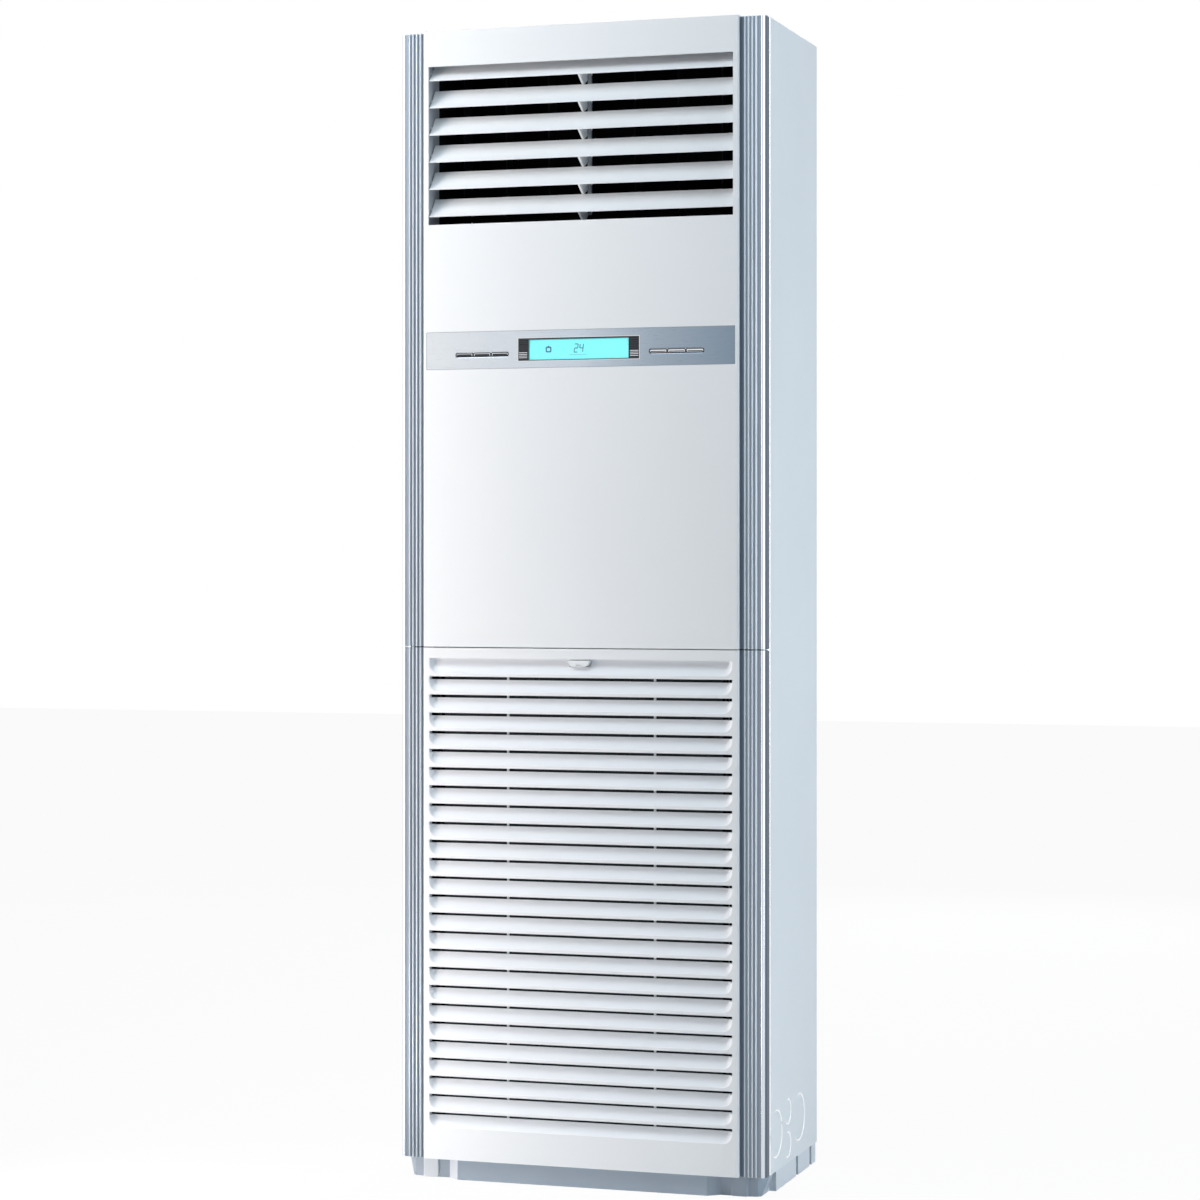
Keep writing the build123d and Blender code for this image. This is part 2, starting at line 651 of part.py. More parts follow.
def front_shell(z0, z1):
    """A tray shaped moulding, open at the rear, with rounded front edges."""
    half = PANEL_WIDTH / 2
    shell = block(-half, half, 0, PANEL_RETURN, z0, z1)
    shell = fillet(shell.edges().group_by(Axis.Y)[0].filter_by(Axis.Z), PANEL_EDGE)
    inner = half - PANEL_WALL
    return shell - block(-inner, inner, PANEL_WALL, PANEL_RETURN + 1, z0 + PANEL_WALL, z1 - PANEL_WALL)


def button_windows(clearance, d0, d1):
    """Both groups of button openings as one rounded slot each."""
    length = BUTTONS_PER_GROUP * BUTTON_PITCH
    centre = BUTTON_GROUP_INNER + length / 2
    wide = (length - BUTTON_GAP) / 2 + clearance
    tall = BUTTON_HEIGHT / 2 + clearance
    end = BUTTON_HEIGHT * BUTTON_END
    points = []
    for x, z in ((-1, -1), (1, -1), (1, 1), (-1, 1)):
        side = (centre + x * wide, BUTTON_CENTRE + z * (tall - end))
        edge = (centre + x * (wide - end), BUTTON_CENTRE + z * tall)
        points += [side, edge] if x * z > 0 else [edge, side]
    return both_sides(front_profile(points, d0, d1))


def front_panel_upper():
    panel = front_shell(UPPER_BOTTOM, HEIGHT)
    half = OUTLET_WIDTH / 2
    panel -= block(-half, half, -1, PANEL_WALL + 1, OUTLET_BOTTOM, OUTLET_BOTTOM + OUTLET_HEIGHT)
    strip = STRIP_WIDTH / 2
    panel -= block(-strip, strip, -1, STRIP_RECESS, STRIP_BOTTOM, STRIP_BOTTOM + STRIP_HEIGHT)
    bezel = BEZEL_WIDTH / 2 + FIT
    top = BEZEL_BOTTOM + BEZEL_HEIGHT + FIT
    panel -= block(-bezel, bezel, 0, PANEL_WALL + 1, BEZEL_BOTTOM - FIT, top)
    panel -= button_windows(FIT, 0, PANEL_WALL + 1)
    middle = STRIP_BOTTOM + STRIP_HEIGHT / 2
    for x in (-1, 1):
        for z in (-1, 1):
            across = x * (BOARD_WIDTH / 2 - BOARD_POST_INSET)
            height = middle + z * (BOARD_HEIGHT / 2 - BOARD_POST_INSET)
            start = (across, at_depth(PANEL_WALL - 0.5), height)
            panel += peg(start, (0, 1, 0), BOARD_DEPTH - PANEL_WALL + 0.5, BOARD_POST)
    return panel


def control_fascia():
    """Brushed strip across the panel, open round the bezel and the buttons."""
    half = STRIP_WIDTH / 2
    strip = block(-half, half, STRIP_FRONT, STRIP_RECESS, STRIP_BOTTOM, STRIP_BOTTOM + STRIP_HEIGHT)
    bezel = BEZEL_WIDTH / 2 + FIT / 2
    top = BEZEL_BOTTOM + BEZEL_HEIGHT + FIT / 2
    strip -= block(-bezel, bezel, 0, STRIP_RECESS + 1, BEZEL_BOTTOM - FIT / 2, top)
    return strip - button_windows(FIT, 0, STRIP_RECESS + 1)


def display_bezel():
    """Frame round the display with ribbed end pieces."""
    half = BEZEL_WIDTH / 2
    rear = STRIP_FRONT + BEZEL_THICKNESS
    frame = block(-half, half, STRIP_FRONT, rear, BEZEL_BOTTOM, BEZEL_BOTTOM + BEZEL_HEIGHT)
    lens = LENS_WIDTH / 2
    frame -= block(-lens, lens, 0, rear + 1, LENS_BOTTOM, LENS_BOTTOM + LENS_HEIGHT)
    pitch = BEZEL_HEIGHT / BEZEL_RIBS
    half_rib = pitch * BEZEL_RIB_SHARE
    for rib in range(BEZEL_RIBS - 1):
        z = BEZEL_BOTTOM + (rib + 1) * pitch
        groove = side_profile(
            [
                (STRIP_FRONT - 1, z - half_rib),
                (STRIP_FRONT, z - half_rib),
                (STRIP_FRONT + BEZEL_RIB_DEPTH, z),
                (STRIP_FRONT, z + half_rib),
                (STRIP_FRONT - 1, z + half_rib),
            ],
            lens + BEZEL_RIB_MARGIN,
            half - BEZEL_RIB_MARGIN,
        )
        frame -= both_sides(groove)
    return frame


def display_lens():
    half = LENS_WIDTH / 2 - FIT / 2
    front = STRIP_FRONT + LENS_SET_BACK
    low = LENS_BOTTOM + FIT / 2
    high = LENS_BOTTOM + LENS_HEIGHT - FIT / 2
    return block(-half, half, front, front + LENS_THICKNESS, low, high)


def lcd_panel():
    """Display module behind the bezel, with its glass raised into the window."""
    half = LENS_WIDTH / 2 + LCD_MARGIN
    glass = LENS_WIDTH / 2 - 1
    rear = STRIP_FRONT + BEZEL_THICKNESS
    front = STRIP_FRONT + LENS_SET_BACK + LENS_THICKNESS
    low = LENS_BOTTOM - LCD_MARGIN
    high = LENS_BOTTOM + LENS_HEIGHT + LCD_MARGIN
    module = block(-half, half, rear, BOARD_DEPTH, low, high)
    low, high = LENS_BOTTOM + 1, LENS_BOTTOM + LENS_HEIGHT - 1
    return module + block(-glass, glass, front, rear + 1, low, high)


def button_centres():
    """X of every button, from left to right."""
    right = [BUTTON_GROUP_INNER + BUTTON_PITCH * (i + 0.5) for i in range(BUTTONS_PER_GROUP)]
    return [-x for x in reversed(right)] + right


def control_board():
    """Circuit board with a switch behind every button and its chips on the back."""
    middle = STRIP_BOTTOM + STRIP_HEIGHT / 2
    low = middle - BOARD_HEIGHT / 2
    half = BOARD_WIDTH / 2
    back = BOARD_DEPTH + BOARD_THICKNESS
    board = block(-half, half, BOARD_DEPTH, back, low, low + BOARD_HEIGHT)
    switch = SWITCH_SIDE / 2
    z0, z1 = BUTTON_CENTRE - switch, BUTTON_CENTRE + switch
    for x in button_centres():
        board += block(x - switch, x + switch, BOARD_DEPTH - SWITCH_HEIGHT, BOARD_DEPTH, z0, z1)
    for share, width, height in BOARD_CHIPS:
        x = share * BOARD_WIDTH
        z0, z1 = middle - height / 2, middle + height / 2
        board += block(x, x + width, back, back + CHIP_THICKNESS, z0, z1)
    return board


def button(x):
    """One key: crowned chrome cap, a flange behind the panel and a stem to its switch."""
    half = (BUTTON_PITCH - BUTTON_GAP) / 2
    front = STRIP_FRONT - 0.1
    z0, z1 = BUTTON_CENTRE - BUTTON_HEIGHT, BUTTON_CENTRE + BUTTON_HEIGHT
    body = block(x - half, x + half, front, PANEL_WALL + FIT, z0, z1)
    body &= button_windows(0, 0, PANEL_WALL + FIT)
    rise = BUTTON_HEIGHT / 2
    radius = rise**2 / (2 * BUTTON_CROWN) + BUTTON_CROWN / 2
    body &= rod_x(x - half, x + half, front + radius, BUTTON_CENTRE, radius)
    tall = BUTTON_HEIGHT / 2 + BUTTON_FLANGE_REACH
    inner = half - BUTTON_GAP
    z0, z1 = BUTTON_CENTRE - tall, BUTTON_CENTRE + tall
    body += block(x - inner, x + inner, PANEL_WALL + FIT, BUTTON_BACK, z0, z1)
    tip = BOARD_DEPTH - SWITCH_HEIGHT - BUTTON_TRAVEL - FIT
    stem = BUTTON_STEM / 2
    z0, z1 = BUTTON_CENTRE - stem, BUTTON_CENTRE + stem
    return body + block(x - stem, x + stem, BUTTON_BACK - 0.5, tip, z0, z1)


# ------------------------------------------------------------------ outlet


def duct(d0, d1):
    """A rectangular sleeve round the air stream."""
    outer = DUCT_HALF + DUCT_WALL
    sleeve = block(-outer, outer, d0, d1, DUCT_FLOOR - DUCT_WALL, DUCT_CEILING + DUCT_WALL)
    return sleeve - block(-DUCT_HALF, DUCT_HALF, d0 - 1, d1 + 1, DUCT_FLOOR, DUCT_CEILING)


def louvre_heights():
    return [LOUVRE_TOP - i * LOUVRE_PITCH for i in range(LOUVRES)]


def vane_places():
    return [(i - (VANES - 1) / 2) * VANE_PITCH for i in range(VANES)]


def outlet_frame():
    frame = duct(PANEL_WALL, DUCT_SPLIT)
    outer = DUCT_HALF + DUCT_WALL + 1
    for z in louvre_heights():
        frame -= peg_x(-outer, outer, LOUVRE_DEPTH, z, PIN + RUNNING, bearing=True)
    return frame


def blade_point(along, across):
    """Depth and height of a point of the tilted blade, relative to its pivot."""
    tilt = math.radians(LOUVRE_TILT)
    depth = along * math.cos(tilt) - across * math.sin(tilt)
    return depth, along * math.sin(tilt) + across * math.cos(tilt)


def louvre(z, leads):
    """Scooped blade with end pivots, and at its middle an ear with the pin for the link.

    The link hangs on the pin of the blade that leads, so that pin is rounded as well.
    """

    def place(x, along, across):
        depth, height = blade_point(along, across)
        return (x, at_depth(LOUVRE_DEPTH + depth), z + height)

    def section(x):
        end = LOUVRE_CHORD / 2
        skin = LOUVRE_THICKNESS / 2
        lip = skin * 0.45
        top = ThreePointArc(
            place(x, -end, LOUVRE_CAMBER + lip), place(x, 0, skin), place(x, end, LOUVRE_CAMBER + lip)
        )
        under = ThreePointArc(
            place(x, -end, LOUVRE_CAMBER - lip), place(x, 0, -skin), place(x, end, LOUVRE_CAMBER - lip)
        )
        ends = [Line(top @ 0, under @ 0), Line(top @ 1, under @ 1)]
        return make_face([top, under] + ends)

    body = extrude(section(-LOUVRE_HALF), amount=2 * LOUVRE_HALF, dir=(1, 0, 0))
    reach = DUCT_HALF + DUCT_WALL + 0.5
    for side in (-1, 1):
        body += peg_x(side * (LOUVRE_HALF - 1), side * reach, LOUVRE_DEPTH, z, PIN)
    start = (LOUVRE_HALF - 1, at_depth(LOUVRE_DEPTH), z)
    body += rounded_side(start, (1, 0, 0), reach - LOUVRE_HALF + 1)
    pin_depth = LOUVRE_DEPTH + LINK_ARM_BACK
    pin_z = z - LINK_ARM_DOWN
    front = place(-EAR_THICKNESS, -LOUVRE_CHORD / 2 + 2, LOUVRE_CAMBER - 0.8)
    back = place(-EAR_THICKNESS, LOUVRE_CHORD / 2 - 2, LOUVRE_CAMBER - 0.8)
    corners = [(pin_depth + depth, pin_z + height) for depth, height in EAR_TAIL]
    corners.append((LOUVRE_DEPTH + EAR_FOOT[0], z + EAR_FOOT[1]))
    tail = [(-EAR_THICKNESS, at_depth(d), h) for d, h in corners]
    middle = place(-EAR_THICKNESS, 0, 0)
    edges = [ThreePointArc(front, middle, back), Line(back, tail[0])]
    edges += [Line(a, b) for a, b in zip(tail, tail[1:])]
    edges.append(Line(tail[-1], front))
    body += extrude(make_face(edges), amount=EAR_THICKNESS, dir=(1, 0, 0))
    start = -0.5
    end = LINK_GAP + LINK_WIDTH + 0.5
    body += peg_x(start, end, pin_depth, pin_z, PIN)
    if leads:
        body += rounded_side((start, at_depth(pin_depth), pin_z), (1, 0, 0), end - start)
    return body


def louvre_link():
    """Upright bar behind the blades, hooked on every ear pin."""
    depth = LOUVRE_DEPTH + LINK_ARM_BACK
    heights = [z - LINK_ARM_DOWN for z in louvre_heights()]
    x0 = LINK_GAP
    x1 = LINK_GAP + LINK_WIDTH
    half = LINK_DEPTH / 2
    bar = block(x0, x1, depth - half, depth + half, heights[-1] - LINK_END, heights[0] + LINK_END)
    for z in heights:
        bar -= peg_x(x0 - 1, x1 + 1, depth, z, PIN + RUNNING, bearing=True)
    return bar


def vane_frame():
    """Rear half of the outlet duct: vane bearings and the curved air guide behind them."""
    frame = duct(DUCT_SPLIT, DUCT_END)
    low = DUCT_FLOOR - DUCT_WALL - 1
    high = DUCT_CEILING + DUCT_WALL + 1
    for x in vane_places():
        frame -= peg_z(x, VANE_DEPTH, low, high, PIN + RUNNING, bearing=True)
    outer = DUCT_HALF + DUCT_WALL
    top = DUCT_CEILING + DUCT_WALL
    bottom = GUIDE_BOTTOM
    rear = REAR_INNER - GUIDE_REAR_GAP
    start = DUCT_END + GUIDE_FLAT
    across, down = GUIDE_BULGE
    inset = DUCT_WALL
    slant = inset * math.sqrt(0.5)

    def point(depth, z):
        return (-outer, at_depth(depth), z)

    outer_middle = point(rear - across, top - down)
    inner_middle = point(rear - across - slant, top - down - slant)
    outside = [
        Line(point(DUCT_END, top), point(start, top)),
        ThreePointArc(point(start, top), outer_middle, point(rear, bottom)),
    ]
    inside = [
        ThreePointArc(point(rear - inset, bottom), inner_middle, point(start, top - inset)),
        Line(point(start, top - inset), point(DUCT_END, top - inset)),
    ]
    close = [
        Line(point(rear, bottom), point(rear - inset, bottom)),
        Line(point(DUCT_END, top - inset), point(DUCT_END, top)),
    ]
    return frame + extrude(make_face(outside + inside + close), amount=2 * outer, dir=(1, 0, 0))


def vane(x, driven, leads):
    """Upright vane with a pivot at each end and a pin for the link on its rear finger.

    The driven one reaches into the motor, and the link hangs on the one that leads.
    """
    low = DUCT_FLOOR + VANE_END_GAP
    high = DUCT_CEILING - VANE_END_GAP
    finger_low = VANE_LINK_TOP + LINK_GAP
    finger_high = finger_low + FINGER_HEIGHT
    half = VANE_THICKNESS / 2
    plate = side_profile(
        [
            (VANE_DEPTH - VANE_FRONT, low),
            (VANE_DEPTH + VANE_NOTCH_REAR, low),
            (VANE_DEPTH + VANE_NOTCH_REAR, finger_high),
            (VANE_DEPTH + VANE_REAR, finger_high + 10),
            (VANE_DEPTH + VANE_REAR, high),
            (VANE_DEPTH - VANE_FRONT, high),
        ],
        x - half,
        x + half,
    )
    wide = FINGER_WIDTH / 2
    end = VANE_DEPTH + VANE_ARM + wide
    plate += block(x - wide, x + wide, VANE_DEPTH + 2, end, finger_low, finger_high)
    pin_depth = VANE_DEPTH + VANE_ARM
    pin_low = VANE_LINK_BOTTOM - 0.5
    plate += peg_z(x, pin_depth, pin_low, finger_low + 1, PIN)
    if leads:
        height = finger_low + 1 - pin_low
        plate += rounded_side((x, at_depth(pin_depth), pin_low), (0, 0, 1), height)
    top = DUCT_CEILING + DUCT_WALL + (SPINDLE if driven else 0)
    foot = DUCT_FLOOR - DUCT_WALL
    plate += peg_z(x, VANE_DEPTH, foot, low + 1, PIN)
    plate += rounded_side((x, at_depth(VANE_DEPTH), foot), (0, 0, 1), low + 1 - foot)
    return plate + peg_z(x, VANE_DEPTH, high - 1, top, PIN)


def vane_link():
    """Level bar behind the vanes, hooked on every vane pin."""
    depth = VANE_DEPTH + VANE_ARM
    reach = (VANES - 1) / 2 * VANE_PITCH + 7
    half = VANE_LINK_DEPTH / 2
    bar = block(-reach, reach, depth - half, depth + half, VANE_LINK_BOTTOM, VANE_LINK_TOP)
    for x in vane_places():
        bar -= peg_z(x, depth, VANE_LINK_BOTTOM - 1, VANE_LINK_TOP + 1, PIN + RUNNING, bearing=True)
    return bar


def swing_motor():
    """Small geared motor on top of the duct, with a socket for the driven vane's spindle."""
    x = vane_places()[MOTOR_VANE]
    low = DUCT_CEILING + DUCT_WALL
    body = peg_z(x, VANE_DEPTH, low, low + SWING_MOTOR_HEIGHT, SWING_MOTOR_RADIUS, sides=2 * PIN_SIDES)
    reach = SWING_MOTOR_RADIUS + SWING_EAR
    wide = SWING_EAR_WIDTH / 2
    body += block(x - reach, x + reach, VANE_DEPTH - wide, VANE_DEPTH + wide, low, low + DUCT_WALL)
    wide = SWING_GEAR_WIDTH / 2
    rear = VANE_DEPTH + SWING_MOTOR_RADIUS + SWING_GEAR_REACH
    body += block(x - wide, x + wide, VANE_DEPTH, rear, low, low + SWING_GEAR_HEIGHT)
    return body - peg_z(x, VANE_DEPTH, low - 1, low + SPINDLE + 1, PIN + RUNNING, bearing=True)


# ------------------------------------------------------------------ intake grille


def scoop(z):
    """Cutter of one scooped pocket whose slot starts below height z."""
    half = GRILLE_ZONE_WIDTH / 2
    low = z - GRILLE_SCOOP_HEIGHT
    reach = GRILLE_THICKNESS
    corner = [(-half, z + reach)]
    for step in range(GRILLE_CORNER_FLATS + 1):
        angle = math.pi / 2 * step / GRILLE_CORNER_FLATS
        x = -half + GRILLE_CORNER * (1 - math.cos(angle))
        corner.append((x, low + GRILLE_CORNER * (1 - math.sin(angle))))
    points = corner + [(-x, height) for x, height in reversed(corner)]
    pocket = front_profile(points, 0, GRILLE_SCOOP_DEPTH + 1)
    front = Plane(origin=(0, at_depth(0), z), x_dir=(1, 0, 0), z_dir=(0, -1, 0))
    walls = [face for face in pocket.faces() if abs(face.normal_at().Y) < 0.5]
    pocket = draft(walls, front, -GRILLE_END_DRAFT)

    slot_low = z - GRILLE_SLOT_HEIGHT
    hollow = GRILLE_SCOOP_HOLLOW
    ramp = [
        (GRILLE_SCOOP_DEPTH, z),
        (GRILLE_SCOOP_DEPTH, slot_low),
        (GRILLE_SCOOP_DEPTH / 2 + hollow, (slot_low + low) / 2 - hollow / 2),
        (0, low),
        (-1, low),
        (-1, z),
    ]
    return pocket & side_profile(ramp, -half - 1, half + 1)


def rear_cut(z):
    """Cutter that opens the slot below z and thins its blade from behind."""
    slot_low = z - GRILLE_SLOT_HEIGHT
    back = GRILLE_THICKNESS + 1
    lip = z - GRILLE_PITCH + GRILLE_BLADE
    edge = GRILLE_ZONE_WIDTH / 2 - GRILLE_SCOOP_DEPTH * math.tan(math.radians(GRILLE_END_DRAFT))
    cut = [
        (back, z),
        (GRILLE_SCOOP_DEPTH - 1, z),
        (GRILLE_SCOOP_DEPTH - 1, slot_low),
        (GRILLE_SCOOP_DEPTH + GRILLE_BLADE, slot_low),
        (GRILLE_BLADE, lip),
        (back, lip),
    ]
    return side_profile(cut, -edge, edge)


def grille_bar():
    """Right upright bar on the back of the blades."""
    low = GRILLE_SLOT_TOP - GRILLE_SLOTS * GRILLE_PITCH - GRILLE_SCOOP_HEIGHT
    start = GRILLE_RIB_X - GRILLE_RIB / 2
    high = GRILLE_SLOT_TOP - GRILLE_SCOOP_HEIGHT + GRILLE_BAR
    rear = GRILLE_THICKNESS + GRILLE_BAR
    return block(start, start + GRILLE_RIB, GRILLE_THICKNESS, rear, low, high)


def grille_hinge(x):
    """Two ribs and the pin between them, at one lug of the base."""
    half = HINGE_LUG_WIDTH / 2 + FIT
    front = PANEL_WALL - 0.5
    rear = HINGE_DEPTH + HINGE_LUG_RADIUS
    low = HINGE_HEIGHT - HINGE_LUG_RADIUS + 0.5
    ribs = []
    for side in (-1, 1):
        inner = x + side * half
        outer = inner + side * HINGE_RIB
        ribs.append(block(inner, outer, front, rear, low, HINGE_HEIGHT + HINGE_RIB_ABOVE))
    reach = half + HINGE_RIB
    pin = peg_x(x - reach, x + reach, HINGE_DEPTH, HINGE_HEIGHT, PIN)
    pin += rounded_side((x - reach, at_depth(HINGE_DEPTH), HINGE_HEIGHT), (1, 0, 0), 2 * reach)
    return ribs[0] + ribs[1] + pin


def filter_rail():
    """Right filter rail: a channel round the edge of the filter, with a stop below."""
    gap = FIT
    edge = FILTER_WIDTH / 2 + gap
    front = FILTER_DEPTH - gap
    rear = FILTER_DEPTH + FILTER_THICKNESS + gap
    top = FILTER_BOTTOM + FILTER_HEIGHT - RAIL_TOP_DROP
    low = FILTER_BOTTOM - gap
    foot = low - RAIL_WALL
    lip = edge - RAIL_LIP
    rail = block(edge, edge + RAIL_WALL, GRILLE_THICKNESS - 1, rear + RAIL_WALL, foot, top)
    rail += block(lip, edge + 1, rear, rear + RAIL_WALL, foot, top)
    rail += block(lip, edge + 1, front - RAIL_WALL, front, foot, top)
    rail += block(edge - RAIL_STOP, edge + 1, GRILLE_THICKNESS - 1, rear + RAIL_WALL, foot, low)
    return rail


def intake_grille():
    grille = front_shell(GRILLE_BOTTOM, GRILLE_TOP)
    top = GRILLE_SLOT_TOP + GRILLE_PLATE_MARGIN
    low = GRILLE_SLOT_TOP - (GRILLE_SLOTS + 1) * GRILLE_PITCH - GRILLE_PLATE_MARGIN
    half = PANEL_WIDTH / 2 - PANEL_WALL
    grille += block(-half, half, PANEL_WALL, GRILLE_THICKNESS, low, top)
    for slot in range(GRILLE_SLOTS + 1):
        z = GRILLE_SLOT_TOP - slot * GRILLE_PITCH
        grille -= scoop(z)
        if slot:
            grille -= rear_cut(z)
    for x in (-HINGE_X, HINGE_X):
        gap = HINGE_LUG_WIDTH / 2 + FIT
        grille -= block(x - gap, x + gap, PANEL_WALL, PANEL_RETURN + 1, GRILLE_BOTTOM - 1, HINGE_HEIGHT)
        grille += grille_hinge(x)
    window = LATCH_WIDTH / 2 + FIT
    z0, z1 = latch_heights()
    grille -= block(-window, window, -1, GRILLE_THICKNESS + 1, z0 - FIT, z1 + FIT)
    grille += both_sides(filter_rail())
    return [grille, grille_bar(), mirrored(grille_bar())]


def latch_heights():
    top = GRILLE_SLOT_TOP - LATCH_DROP
    return top - LATCH_HEIGHT, top


def grille_latch():
    """Push tab at the top of the grille: rounded front, collar behind the grille, short nose."""
    z0, z1 = latch_heights()
    half = LATCH_WIDTH / 2
    inward, upward = (share * LATCH_CORNER for share in LATCH_CORNER_POINT)
    right = [(half, z1), (half, z0 + LATCH_CORNER), (half - inward, z0 + upward)]
    right.append((half - LATCH_CORNER, z0))
    points = right + [(-x, z) for x, z in reversed(right)]
    rear = LATCH_SET_BACK + LATCH_LENGTH
    tab = front_profile(points, LATCH_SET_BACK, rear)
    slot = LATCH_SLOT / 2
    above, tall, deep = LATCH_RECESS
    tab -= block(-slot, slot, 0, LATCH_SET_BACK + deep, z0 + above, z0 + above + tall)
    back = GRILLE_THICKNESS + FIT
    across, up = LATCH_COLLAR
    return tab + block(-half - across, half + across, back, rear, z0 - up, z1 + up)


def air_filter():
    """Moulded frame with cross ribs and a fine net, which lifts out of its rails."""
    half = FILTER_WIDTH / 2
    rear = FILTER_DEPTH + FILTER_THICKNESS
    top = FILTER_BOTTOM + FILTER_HEIGHT
    frame = block(-half, half, FILTER_DEPTH, rear, FILTER_BOTTOM, top)
    wide = 2 * half - 2 * FILTER_FRAME
    tall = FILTER_HEIGHT - 2 * FILTER_FRAME
    columns = FILTER_RIBS
    rows = FILTER_RIBS + 2
    rib = FILTER_FRAME / 2
    cell_x = (wide - (columns - 1) * rib) / columns
    cell_z = (tall - (rows - 1) * rib) / rows
    net = rear - FILTER_NET
    for column in range(columns):
        for row in range(rows):
            x = -half + FILTER_FRAME + column * (cell_x + rib)
            z = FILTER_BOTTOM + FILTER_FRAME + row * (cell_z + rib)
            frame -= block(x, x + cell_x, FILTER_DEPTH - 1, net, z, z + cell_z)
    return frame


# ------------------------------------------------------------------ fan


def scroll_face(inset, top):
    """Spiral of three quarter arcs that runs into an upright outlet, narrowed by a wall."""
    front = at_depth(SCROLL_FRONT)
    r1 = SCROLL_START - inset
    r2 = r1 + SCROLL_STEP
    r3 = r2 + SCROLL_STEP
    zc = FAN_HEIGHT
    right = r1
    x2 = right - r2
    z3 = zc - r2 + r3
    left = x2 - r3
    diagonal = math.sqrt(0.5)

    def point(x, z):
        return (x, front, z)

    throat = SCROLL_THROAT_X - inset
    tongue = zc + r1 + SCROLL_TONGUE
    edges = [
        ThreePointArc(
            point(0, zc + r1), point(r1 * diagonal, zc + r1 * diagonal), point(right, zc)
        ),
        ThreePointArc(
            point(right, zc), point(x2 + r2 * diagonal, zc - r2 * diagonal), point(x2, zc - r2)
        ),
        ThreePointArc(
            point(x2, zc - r2), point(x2 - r3 * diagonal, z3 - r3 * diagonal), point(left, z3)
        ),
        Line(point(left, z3), point(left, top)),
        Line(point(left, top), point(throat, top)),
        Line(point(throat, top), point(throat, tongue)),
        Line(point(throat, tongue), point(0, zc + r1)),
    ]
    return make_face(edges)


def fan_scroll():
    """Volute housing with its inlet in front, the motor hole behind and the outlet on top."""
    body = extrude(scroll_face(0, PARTITION_HEIGHT), amount=SCROLL_WIDTH, dir=(0, 1, 0))
    inside = scroll_face(SHEET, PARTITION_HEIGHT + 1)
    body -= Pos(0, SHEET, 0) * extrude(inside, amount=SCROLL_WIDTH - 2 * SHEET, dir=(0, 1, 0))
    body -= round_plate(SCROLL_FRONT - 1, SHEET + 2, INLET_THROAT + INLET_SHEET + SCROLL_HOLE_GAP)
    behind = (0, at_depth(SCROLL_REAR - SHEET - 1), FAN_HEIGHT)
    body -= peg(behind, (0, 1, 0), SHEET + 2, HUB_RADIUS, sides=TUBE_SIDES)
    return body + scroll_foot(-1) + scroll_foot(1)


def scroll_foot(side):
    """Bracket from the lowest part of the housing down to the floor of the base."""
    x = side * FOOT_X
    top = FAN_HEIGHT - INLET_FLANGE + FOOT_RISE
    half = FOOT_WIDTH / 2
    foot = block(x - half, x + half, SCROLL_FRONT, SCROLL_FRONT + SHEET, BASE_FLOOR, top)
    toe = SCROLL_FRONT + FOOT_WIDTH
    return foot + block(x - half, x + half, SCROLL_FRONT, toe, BASE_FLOOR, BASE_FLOOR + SHEET)


def inlet_ring():
    """Collar on the front of the housing that leads the air into the wheel."""
    flange = round_plate(SCROLL_FRONT - INLET_SHEET, INLET_SHEET, INLET_FLANGE, INLET_THROAT)
    return flange + round_plate(SCROLL_FRONT, INLET_DEPTH, INLET_THROAT + INLET_SHEET, INLET_THROAT)


def round_plate(depth, thickness, radius, hole=0):
    """A disc or ring round the shaft, with one flat for each blade of the wheel."""
    start = (0, at_depth(depth), FAN_HEIGHT)
    plate = peg(start, (0, 1, 0), thickness, radius, sides=WHEEL_BLADES)
    if hole:
        plate -= peg(start, (0, 1, 0), thickness, hole, sides=WHEEL_BLADES)
    return plate


def wheel_blade():
    """One forward curved blade, pulled along the shaft, at the right of the wheel."""
    outer = WHEEL_RADIUS - WHEEL_RIM
    bend = (WHEEL_INNER + outer) / 2
    line = [(WHEEL_INNER, 0), (bend, WHEEL_SWEEP / 4), (outer, WHEEL_SWEEP)]
    line += [(radius, tilt + WHEEL_BLADE * 180 / math.pi / bend) for radius, tilt in reversed(line)]
    points = []
    for radius, tilt in line:
        angle = math.radians(tilt)
        points.append((radius * math.cos(angle), FAN_HEIGHT + radius * math.sin(angle)))
    return front_profile(points, WHEEL_FRONT + WHEEL_RING / 2, WHEEL_REAR - WHEEL_DISC / 2)


def fan_wheel():
    """Centrifugal wheel on its shaft: back disc, front ring, hub and forward curved blades."""
    wheel = round_plate(WHEEL_REAR - WHEEL_DISC, WHEEL_DISC, WHEEL_RADIUS)
    wheel += round_plate(WHEEL_FRONT, WHEEL_RING, WHEEL_RADIUS, WHEEL_RADIUS - 2 * WHEEL_RIM)
    blade = wheel_blade()
    axis = Axis((0, 0, FAN_HEIGHT), (0, 1, 0))
    wheel += [blade.rotate(axis, i * 360 / WHEEL_BLADES) for i in range(WHEEL_BLADES)]
    wheel += round_plate(WHEEL_REAR - HUB_LENGTH, HUB_LENGTH, HUB_RADIUS - HUB_GAP)
    end = WHEEL_REAR - HUB_LENGTH - SHAFT_NOSE
    start = (0, at_depth(end), FAN_HEIGHT)
    length = SCROLL_REAR + MOTOR_BORE - FIT - end
    return wheel + peg(start, (0, 1, 0), length, SHAFT_RADIUS, sides=TUBE_SIDES)


